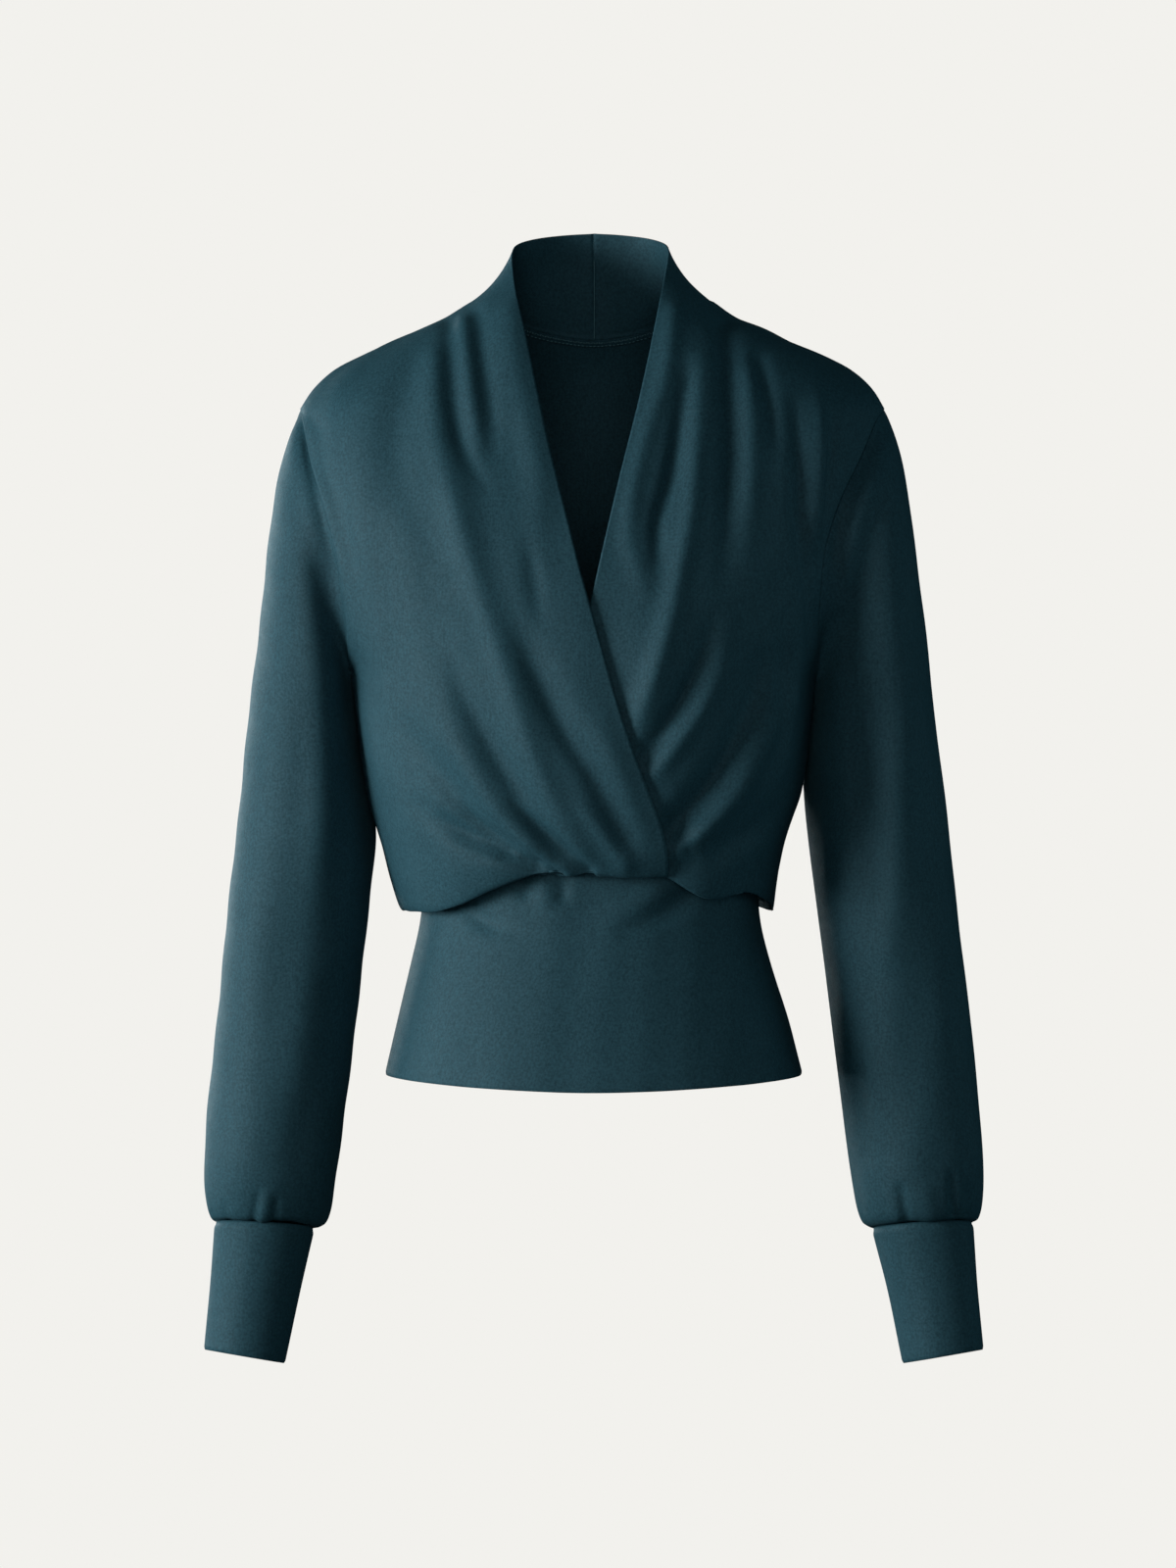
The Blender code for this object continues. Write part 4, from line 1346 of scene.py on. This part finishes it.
@dataclass
class BodiceBack(BodicePanel):
    """The back, in one piece."""

    columns: int = 176
    usual_width: float = 0.36
    neck_drop: float = 0.004
    stretches: tuple[tuple[int, int, int], ...] = (
        (0, BLOUSE, 34), (BLOUSE, ARMPIT, 56), (ARMPIT, SHOULDER_POINT, 80),
        (SHOULDER_POINT, NECK_POINT, 44))
    seam_still: tuple[float, float] = (0.008, 0.07)
    fade_at_waist: float = 2.2
    fade_at_side: float = 0.022
    ripple_seed: int = 11
    cut: Cut = Cut(.420, .425, .1680, Held.GATHERED, ("wrap_front_right", "wrap_front_left"))

    def build(self, centre: np.ndarray, finish: bpy.types.Material, thread: bpy.types.Material) -> None:
        """Make the back with its neck seam.

        Args:
            centre: The collar's centre-back seam.
            finish: The cloth.
            thread: The stitches.
        """
        levels = level_rows(self.stretches)
        levels[-1] -= self.neck_drop
        shares = seam_shares(self.columns, True, True, self.usual_width)
        cloth = Cloth("bodice_back", "back", "jersey", self.pattern.back(levels, shares), self.wall,
                      turned=True)
        first, width = self.seam_still
        at_seams = 1 - soft_step((np.minimum(shares, 1 - shares) - first) / width)
        self.soften(cloth, levels, NECK_POINT, at_seams)
        cloth.keep_still([cloth.points[-1, 0], cloth.points[-1, -1]])
        across = lengths_across(cloth.points)
        from_seam = np.minimum(across, across[:, -1:] - across)
        strength = soft_step(levels / self.fade_at_waist)[:, None] * soft_step(from_seam / self.fade_at_side)
        self.lay_folds(cloth, BACK_FOLDS, self.ripple_seed, strength)
        cloth.dip(from_seam, lip=self.seam_lip)
        cloth.reach_over(Border.FIRST_COLUMN, Border.LAST_COLUMN)
        middle = (len(shares) - 1) // 2
        from_middle = across - across[:, middle:middle + 1]
        cloth.chart = np.stack((from_middle, cloth.points[:, :, 2] - cloth.points[:, :, 1]), axis=2)
        cloth.build(finish, self.cut, NeckSeam().build(cloth, centre, finish, thread))


# ------------------------------------------------------------------ sleeves and cuffs
class Ring(NamedTuple):
    """A ring of a sleeve or cuff: its outermost and innermost points in the front view, what is added to
    them on the left, the depth of its middle, half its depth, how it rises to the front, how much nearer
    the body its inner side is pressed, and how far that side is set back."""

    outer_x: float
    outer_z: float
    inner_x: float
    inner_z: float
    left_outer: float
    left_inner: float
    middle_y: float
    half_depth: float
    tilt: float
    nearer: float = 0.0
    behind: float = 0.0


SLEEVE_RINGS = (
    Ring(.2015, -.0710, .1595, -.2400, -.0020, -.0140, .001, .0560, 0, .0042, .020),
    Ring(.2090, -.1075, .1575, -.2580, -.0030, -.0135, .003, .0605, 0, .0046, .024),
    Ring(.2150, -.1550, .1535, -.2800, -.0030, -.0120, .005, .0610, 0, .0042, .024),
    Ring(.2205, -.2050, .1487, -.3030, -.0020, -.0070, .007, .0585, 0, .0030, .020),
    Ring(.2257, -.2500, .1445, -.3250, -.0020, -.0025, .008, .0555, 0, .0010, .012),
    Ring(.2302, -.2920, .1450, -.3480, -.0018, -.0020, .008, .0525, 0, .0000, .005),
    Ring(.2374, -.3550, .1488, -.3850, -.0015, -.0020, .007, .0495, 0),
    Ring(.2440, -.4200, .1540, -.4300, -.0012, 0, .004, .0475, .02),
    Ring(.2495, -.4750, .1590, -.4780, -.0010, 0, .000, .0465, .05),
    Ring(.2533, -.5200, .1640, -.5200, 0, 0, -.004, .0460, .08),
    Ring(.2541, -.5480, .1682, -.5490, 0, 0, -.006, .0445, .10),
    Ring(.2525, -.5660, .1712, -.5670, 0, 0, -.007, .0415, .12),
    Ring(.2500, -.5740, .1750, -.5770, 0, 0, -.008, .0375, .14),
    Ring(.2472, -.5772, .1815, -.5812, 0, 0, -.008, .0325, .15),
)
CUFF_RINGS = (
    Ring(.2470, -.57755, .1817, -.58155, 0, 0, -.008, .0323, .15),
    Ring(.2490, -.6120, .1920, -.6250, 0, 0, -.010, .0292, .13),
    Ring(.2534, -.6590, .2010, -.6680, 0, 0, -.013, .0272, .12),
)
SLEEVE_ROUNDNESS = 2.15

SLEEVE_FOLDS = {
    Side.RIGHT: {
        Facing.FRONT: (
            Fold(-.0030, .0085, .4, .3, ((-.172, -.096), (-.170, -.128), (-.166, -.165), (-.164, -.215))),
            Fold(.0022, .0095, .2, .3, ((-.188, -.098), (-.185, -.140), (-.181, -.200), (-.177, -.270),
                                        (-.173, -.330))),
            Fold(.0030, .0120, .3, .2, ((-.172, -.170), (-.1745, -.230), (-.176, -.290), (-.178, -.370))),
            Fold(.0020, .0140, .2, .3, ((-.214, -.300), (-.220, -.380), (-.226, -.480))),
            Fold(.0018, .0065, .1, .5, ((-.196, -.057), (-.1905, -.082), (-.1812, -.118), (-.1735, -.146))),
            Fold(-.0026, .0140, .1, .9, ((-.184, -.480), (-.190, -.530), (-.197, -.572))),
            Fold(-.0015, .0027, .1, 1.0, ((-.2148, -.550), (-.2170, -.561), (-.2195, -.5740))),
            Fold(-.0012, .0030, .1, 1.0, ((-.2035, -.556), (-.2050, -.565), (-.2070, -.5760))),
            Fold(-.0008, .0030, .1, 1.0, ((-.2385, -.558), (-.2375, -.566), (-.2365, -.5730))),
            Fold(.0012, .0060, .1, .9, ((-.2100, -.550), (-.2120, -.563), (-.2140, -.5740))),
        ),
        Facing.BACK: (
            Fold(-.0034, .0110, .3, .2, ((-.196, -.110), (-.190, -.160), (-.184, -.220))),
            Fold(-.0030, .0120, .2, .3, ((-.170, -.300), (-.186, -.330), (-.206, -.345))),
            Fold(-.0024, .0120, .2, .2, ((-.222, -.360), (-.214, -.430), (-.208, -.500))),
            Fold(-.0026, .0050, .1, 1.0, ((-.2250, -.545), (-.2255, -.560), (-.2260, -.5760))),
            Fold(-.0026, .0050, .1, 1.0, ((-.2080, -.548), (-.2095, -.562), (-.2110, -.5770))),
            Fold(-.0022, .0040, .1, 1.0, ((-.1930, -.556), (-.1960, -.566), (-.1985, -.5780))),
        ),
    },
    Side.LEFT: {
        Facing.FRONT: (
            Fold(.0038, .0110, .3, .5, ((.186, -.130), (.193, -.200), (.1975, -.270), (.196, -.340),
                                        (.189, -.400))),
            Fold(.0050, .0085, .0, .5, ((.1960, -.056), (.1850, -.080), (.1785, -.098), (.1705, -.121),
                                        (.1650, -.146), (.1625, -.175))),
            Fold(-.0030, .0070, .2, .4, ((.1665, -.442), (.1697, -.480), (.1773, -.531))),
            Fold(-.0034, .0110, .3, .3, ((.170, -.165), (.173, -.240), (.177, -.320), (.180, -.370))),
            Fold(-.0026, .0120, .2, .3, ((.212, -.180), (.218, -.260), (.216, -.350))),
            Fold(.0020, .0130, .2, .3, ((.226, -.360), (.230, -.430), (.234, -.500))),
            Fold(-.0022, .0034, .1, 1.0, ((.1962, -.546), (.1988, -.558), (.2010, -.5710))),
            Fold(-.0022, .0030, .1, 1.0, ((.2300, -.538), (.2312, -.553), (.2325, -.5690))),
            Fold(-.0016, .0028, .1, 1.0, ((.2412, -.548), (.2420, -.558), (.2425, -.5700))),
            Fold(.0016, .0065, .1, .9, ((.2120, -.545), (.2145, -.558), (.2160, -.5710))),
        ),
        Facing.BACK: (
            Fold(-.0034, .0110, .3, .2, ((.194, -.110), (.188, -.165), (.182, -.225))),
            Fold(-.0030, .0120, .2, .3, ((.168, -.300), (.184, -.335), (.204, -.355))),
            Fold(-.0024, .0120, .2, .2, ((.222, -.370), (.215, -.440), (.209, -.505))),
            Fold(-.0026, .0050, .1, 1.0, ((.2230, -.545), (.2235, -.560), (.2240, -.5760))),
            Fold(-.0026, .0050, .1, 1.0, ((.2060, -.548), (.2075, -.562), (.2090, -.5770))),
            Fold(-.0022, .0040, .1, 1.0, ((.1910, -.556), (.1940, -.566), (.1965, -.5780))),
        ),
    },
}


def ring_points(ring: Ring, side: Side, count: int) -> np.ndarray:
    """Points of a ring, from its outermost point over the front to the inner line and back.

    Args:
        ring: The ring.
        side: The side of the wearer.
        count: How many points.

    Returns:
        The points.
    """
    turn = np.linspace(0, 2 * np.pi, count, endpoint=False)
    outer_x = ring.outer_x + (ring.left_outer if side is Side.LEFT else 0)
    inner_x = ring.inner_x + (ring.left_inner if side is Side.LEFT else 0) - ring.nearer
    outward = power(np.cos(turn), 2 / SLEEVE_ROUNDNESS)
    forward = ring.half_depth * power(np.sin(turn), 2 / SLEEVE_ROUNDNESS)
    x = side.value * ((outer_x + inner_x) / 2 + (outer_x - inner_x) / 2 * outward)
    z = (ring.outer_z + ring.inner_z) / 2 + (ring.outer_z - ring.inner_z) / 2 * outward
    y = ring.middle_y - forward + ring.behind * (1 - outward) / 2
    return np.stack((x, y, z + ring.tilt * forward), axis=1)


def tube(rings: list[np.ndarray], shares: np.ndarray) -> np.ndarray:
    """A tube through rings of equally many points.

    Args:
        rings: The rings.
        shares: Where along the tube its rows are, from 0 to 1.

    Returns:
        The grid, with a row for each share.
    """
    stack = np.array(rings)
    at = shares * (len(rings) - 1)
    grid = np.zeros((len(at),) + stack.shape[1:])
    for column in range(stack.shape[1]):
        for axis in range(3):
            grid[:, column, axis] = read_column(stack[:, column, axis], at)
    return grid


@dataclass
class FullSleeve:
    """A full sleeve, set in at the armhole and gathered to its cuff."""

    pattern: BodicePattern
    side: Side
    wall: float = 0.0010
    columns: int = 132
    rows: int = 214
    length: float = 0.54
    seam_gap: float = 0.00008
    settle_rounds: int = 60
    still_at_armhole: tuple[float, float] = (0.004, 0.05)
    still_at_cuff: tuple[float, float] = (0.80, 0.08)
    fade_at_armhole: float = 0.007
    facing_sharpness: float = 2.5
    ripple_seed: int = 20
    armhole_dip: tuple[float, float] = (0.0002, 0.0016)
    cuff_dip: tuple[float, float] = (0.0012, 0.0020)
    seam_dip: tuple[float, float] = (0.0005, 0.0012)
    seam_turn: float = 0.53
    cut: tuple[float, float, float] = (.330, .565, .1450)

    def tube(self, shares: np.ndarray) -> np.ndarray:
        """The sleeve's form, from the armhole to the cuff.

        Args:
            shares: Where along the sleeve its rows are.

        Returns:
            The grid.
        """
        armhole = self.pattern.armhole(self.side, self.columns)
        rings = [ring_points(ring, self.side, self.columns) for ring in SLEEVE_RINGS]
        outward = rings[0] - armhole
        armhole = armhole + self.seam_gap * outward / np.linalg.norm(outward, axis=1)[:, None]
        return tube([armhole] + rings, shares)

    def lay_folds(self, cloth: Cloth, strength: np.ndarray) -> None:
        """Lay the folds of the sleeve's front and back, each where the cloth looks that way.

        Args:
            cloth: The sleeve.
            strength: How much of them each point takes.
        """
        drape = Drape()
        looks_back = cloth.normals()[:, :, 1]
        height = drape.ripples(cloth.points, self.ripple_seed + self.side.value)
        for facing, folds in SLEEVE_FOLDS[self.side].items():
            there = soft_step(looks_back * facing.value * self.facing_sharpness)
            height += drape.heights(folds, cloth.points) * there
        cloth.move_out(height * strength)

    def build(self, finish: bpy.types.Material) -> None:
        """Make the sleeve.

        Args:
            finish: The cloth.
        """
        shares = seam_shares(self.rows, True, True, self.length)
        cloth = Cloth("full_sleeve_" + self.side.word, "sleeve_" + self.side.word, "jersey",
                      self.tube(shares), self.wall, closed=True, turned=self.side is Side.RIGHT)
        first, width = self.still_at_armhole
        last, blend = self.still_at_cuff
        hold = np.maximum(1 - soft_step((shares - first) / width), soft_step((shares - last) / blend))
        cloth.settle(self.settle_rounds, hold[:, None])
        from_armhole = lengths_along(cloth.points)
        self.lay_folds(cloth, soft_step(from_armhole / self.fade_at_armhole))
        cloth.dip(from_armhole, *self.armhole_dip)
        cloth.dip(from_armhole[-1:] - from_armhole, *self.cuff_dip)
        cloth.reach_over(Border.FIRST_ROW)
        turn = np.linspace(0, 1, self.columns, endpoint=False)
        girth = lengths_across(cloth.points)[:, -1:]
        cloth.dip(np.abs(turn - self.seam_turn) * girth, *self.seam_dip)
        cloth.build(finish, Cut(*self.cut, Held.GATHERED, ("wrap_front_" + self.side.word, "bodice_back")))


@dataclass
class DeepCuff:
    """A deep fitted cuff, its cloth folded double at the bottom edge."""

    side: Side
    wall: float = 0.0016
    columns: int = 112
    rows: int = 62
    length: float = 0.088
    ripple_depth: float = 0.00012
    ripple_seed: int = 30
    seam_dip: tuple[float, float] = (0.0010, 0.0018)
    tucked_in: float = 0.0012
    edge_dip: tuple[float, float] = (0.0006, 0.0012)
    cut: tuple[float, float, float] = (.165, .092, .0148)

    def build(self, finish: bpy.types.Material) -> None:
        """Make the cuff.

        Args:
            finish: The doubled cloth.
        """
        rings = [ring_points(ring, self.side, self.columns) for ring in CUFF_RINGS]
        shares = seam_shares(self.rows, True, True, self.length)
        cloth = Cloth("deep_cuff_" + self.side.word, "cuff_" + self.side.word, "doubled_jersey",
                      tube(rings, shares), self.wall, closed=True, turned=self.side is Side.RIGHT)
        drape = Drape(ripple_depth=self.ripple_depth)
        cloth.move_out(drape.ripples(cloth.points, self.ripple_seed + self.side.value))
        along = lengths_along(cloth.points)
        cloth.dip(along, *self.seam_dip)
        cloth.reach_over(Border.FIRST_ROW, length=self.tucked_in)
        cloth.dip(along[-1:] - along, *self.edge_dip)
        cloth.build(finish, Cut(*self.cut, Held.STRETCHED, ("full_sleeve_" + self.side.word,)))


# ------------------------------------------------------------------ waistband
class BandRing(NamedTuple):
    """A ring of the waistband: half widths, and depths and heights of its sides, front and back."""

    right_x: float
    left_x: float
    side_z: float
    front_y: float
    front_z: float
    back_y: float
    back_z: float


WAISTBAND_RINGS = (
    BandRing(.1104, .1064, -.3455, -.0838, -.3455, .0796, -.3455),
    BandRing(.1126, .1078, -.3760, -.0855, -.3780, .0820, -.3770),
    BandRing(.1200, .1160, -.4100, -.0915, -.4140, .0880, -.4120),
    BandRing(.1275, .1262, -.4420, -.0980, -.4470, .0945, -.4440),
    BandRing(.1363, .1363, -.4800, -.1050, -.4865, .1015, -.4830),
)
BAND_FOLDS = {
    Facing.FRONT: (
        Fold(-.0022, .0055, .9, .1, ((-.046, -.352), (-.045, -.358), (-.042, -.366))),
        Fold(-.0020, .0050, .9, .1, ((-.020, -.352), (-.020, -.360), (-.023, -.368))),
        Fold(.0014, .0060, .6, .1, ((-.034, -.352), (-.032, -.362), (-.026, -.372))),
        Fold(-.0024, .0065, .6, .2, ((-.084, -.368), (-.072, -.378), (-.056, -.384))),
        Fold(-.0028, .0070, .3, .8, ((.022, -.384), (.044, -.374), (.060, -.362), (.066, -.354))),
        Fold(.0016, .0080, .2, .5, ((.010, -.376), (.030, -.366), (.050, -.354))),
    ),
    Facing.BACK: (
        Fold(-.0018, .0070, .7, .1, ((-.050, -.360), (-.044, -.372), (-.034, -.382))),
        Fold(-.0018, .0070, .7, .1, ((.046, -.360), (.042, -.374), (.030, -.386))),
        Fold(-.0014, .0060, .7, .1, ((.002, -.360), (.000, -.372), (-.004, -.380))),
    ),
}


@dataclass
class ShapedWaistband:
    """The front or the back half of the wide waistband, folded double at the hem."""

    pattern: BodicePattern
    facing: Facing
    wall: float = 0.0016
    columns: int = 150
    rows: int = 74
    usual_width: float = 0.28
    length: float = 0.14
    settle_rounds: int = 40
    still_at_waist: tuple[float, float] = (0.02, 0.2)
    still_at_hem: tuple[float, float] = (0.85, 0.1)
    ripple_depth: float = 0.00016
    ripple_seed: int = 40
    fade_at_side: float = 0.01
    tucked_in: float = 0.0034
    hem_dip: tuple[float, float] = (0.0006, 0.0012)
    cut: tuple[float, float, float] = (.340, .142, .0455)

    def surface(self, row_shares: np.ndarray, shares: np.ndarray) -> np.ndarray:
        """The half band's form, from the waist to the hem.

        Args:
            row_shares: Where its rows are, from 0 at the waist to 1.
            shares: Where its columns are, from 0 at the wearer's right to 1.

        Returns:
            The grid.
        """
        at = row_shares * (len(WAISTBAND_RINGS) - 1)
        read = {name: read_column([getattr(ring, name) for ring in WAISTBAND_RINGS], at)
                for name in BandRing._fields}
        flat = np.zeros(len(at))
        halves = []
        for side, from_side in ((Side.RIGHT, shares), (Side.LEFT, 1 - shares)):
            start = np.array((side.value * read[side.word + "_x"], flat, read["side_z"]))
            end = np.array((flat, read[self.facing.word + "_y"], read[self.facing.word + "_z"]))
            points = self.pattern.sections(start, end, flat, flat + 1, flat, flat + self.pattern.roundness,
                                           flat + self.pattern.section_fall, flat)
            halves.append(spaced(points, np.minimum(from_side, 0.5) * 2, self.pattern.seam_half_gap))
        return np.where((shares <= 0.5)[None, :, None], halves[0], halves[1])

    def build(self, finish: bpy.types.Material) -> None:
        """Make the half band.

        Args:
            finish: The doubled cloth.
        """
        row_shares = seam_shares(self.rows, False, True, self.length)
        shares = seam_shares(self.columns, True, True, self.usual_width)
        cloth = Cloth("shaped_waistband_" + self.facing.word, "waistband_" + self.facing.word,
                      "doubled_jersey", self.surface(row_shares, shares), self.wall,
                      turned=self.facing is Facing.FRONT)
        first, width = self.still_at_waist
        last, blend = self.still_at_hem
        hold = np.maximum(1 - soft_step((row_shares - first) / width),
                          soft_step((row_shares - last) / blend))
        cloth.settle(self.settle_rounds, hold[:, None])
        drape = Drape(ripple_depth=self.ripple_depth)
        across = lengths_across(cloth.points)
        from_side_seam = np.minimum(across, across[:, -1:] - across)
        height = drape.heights(BAND_FOLDS[self.facing], cloth.points)
        height += drape.ripples(cloth.points, self.ripple_seed + self.facing.value)
        cloth.move_out(height * soft_step(from_side_seam / self.fade_at_side))
        cloth.dip(from_side_seam)
        cloth.reach_over(Border.FIRST_COLUMN, Border.LAST_COLUMN)
        cloth.reach_over(Border.FIRST_ROW, length=self.tucked_in)
        along = lengths_along(cloth.points)
        cloth.dip(along[-1:] - along, *self.hem_dip)
        held_by = ("bodice_back",) if self.facing is Facing.BACK else ("wrap_front_right", "wrap_front_left")
        cloth.build(finish, Cut(*self.cut, Held.STRETCHED, held_by))


# ------------------------------------------------------------------ studio
@dataclass(frozen=True)
class Lamp:
    """A soft square light, aimed at the middle of the garment."""

    name: str
    place: tuple[float, float, float]
    size: float
    power: float
    colour: tuple[float, float, float] = (1.0, 1.0, 1.0)


@dataclass(frozen=True)
class Studio:
    """A pale floor that runs up into a pale backdrop all round, soft lights and the camera."""

    pale: tuple[float, float, float] = (0.888, 0.880, 0.847)
    radius: float = 9.0
    bowl_sides: tuple[int, int] = (64, 32)
    floor_z: float = -1.30
    ambient: float = 0.024
    air_colour: tuple[float, float, float] = (0.35, 0.85, 1.0)
    aim: tuple[float, float, float] = (0.0, 0.0, -0.30)
    eye: tuple[float, float, float] = (-0.00384, -3.2, -0.2912)
    sensor_height: float = 36.0
    lens: float = 112.5
    lamps: tuple[Lamp, ...] = (
        Lamp("key_light", (-2.71, -1.26, -0.04), 1.2, 62.0),
        Lamp("side_light", (-2.99, 0.00, -0.04), 1.2, 20.5),
        Lamp("front_light", (-0.10, -2.99, -0.04), 1.2, 9.5),
        Lamp("fill_light", (2.99, 0.00, -0.04), 1.2, 6.2, (0.50, 0.90, 1.00)),
        Lamp("rear_light", (-1.90, 2.60, 0.10), 1.6, 26.0, (0.80, 0.96, 1.00)),
    )

    def backdrop(self) -> None:
        """Make the floor and backdrop as one bowl with a flat bottom."""
        net = bmesh.new()
        segments, rings = self.bowl_sides
        bmesh.ops.create_uvsphere(net, u_segments=segments, v_segments=rings, radius=self.radius)
        for vertex in net.verts:
            vertex.co.z = max(vertex.co.z, self.floor_z)
        bmesh.ops.reverse_faces(net, faces=net.faces)
        board = Board("pale_backdrop")
        board.shader.inputs["Base Color"].default_value = (0, 0, 0, 1)
        board.shader.inputs["Specular IOR Level"].default_value = 0
        board.shader.inputs["Emission Color"].default_value = (*self.pale, 1)
        board.shader.inputs["Emission Strength"].default_value = 1
        bowl = shown(net, "studio_bowl", board.material)
        bowl.visible_diffuse = False
        bowl.visible_glossy = False
        bowl.visible_transmission = False
        bowl.visible_shadow = False

    def lights(self) -> None:
        """Make the lamps and the even light around."""
        for lamp in self.lamps:
            data = bpy.data.lights.new(lamp.name, "AREA")
            data.shape = "SQUARE"
            data.size = lamp.size
            data.energy = lamp.power
            data.color = lamp.colour
            made = bpy.data.objects.new(lamp.name, data)
            made.location = lamp.place
            made.rotation_euler = (Vector(self.aim) - Vector(lamp.place)).to_track_quat("-Z", "Y").to_euler()
            made.visible_camera = False
            bpy.context.scene.collection.objects.link(made)
        world = bpy.data.worlds.new("studio_air")
        world.use_nodes = True
        air = world.node_tree.nodes["Background"]
        air.inputs["Color"].default_value = (*self.air_colour, 1)
        air.inputs["Strength"].default_value = self.ambient
        bpy.context.scene.world = world

    def camera(self) -> None:
        """Make the camera, level and in front of the garment."""
        data = bpy.data.cameras.new("camera")
        data.sensor_fit = "VERTICAL"
        data.sensor_height = self.sensor_height
        data.lens = self.lens
        made = bpy.data.objects.new("camera", data)
        made.location = self.eye
        made.rotation_euler = (math.radians(90), 0, 0)
        bpy.context.scene.collection.objects.link(made)
        bpy.context.scene.camera = made

    def build(self) -> None:
        """Set up the studio."""
        self.backdrop()
        self.lights()
        self.camera()
        bpy.context.scene.view_settings.view_transform = "Standard"


def main() -> None:
    """Build the studio and then the garment, piece by piece."""
    logging.basicConfig(level=logging.INFO, format="%(message)s", stream=sys.stdout)
    Studio().build()
    jersey = JerseyFinish("satin_jersey").material()
    doubled = JerseyFinish("satin_jersey_doubled").material()
    pattern = BodicePattern()
    centre = WrapFronts(pattern).build(jersey)
    BodiceBack(pattern).build(centre, jersey, ThreadFinish().material())
    for side in Side:
        FullSleeve(pattern, side).build(jersey)
        DeepCuff(side).build(doubled)
    for facing in (Facing.FRONT, Facing.BACK):
        ShapedWaistband(pattern, facing).build(doubled)


if __name__ == "__main__":
    main()
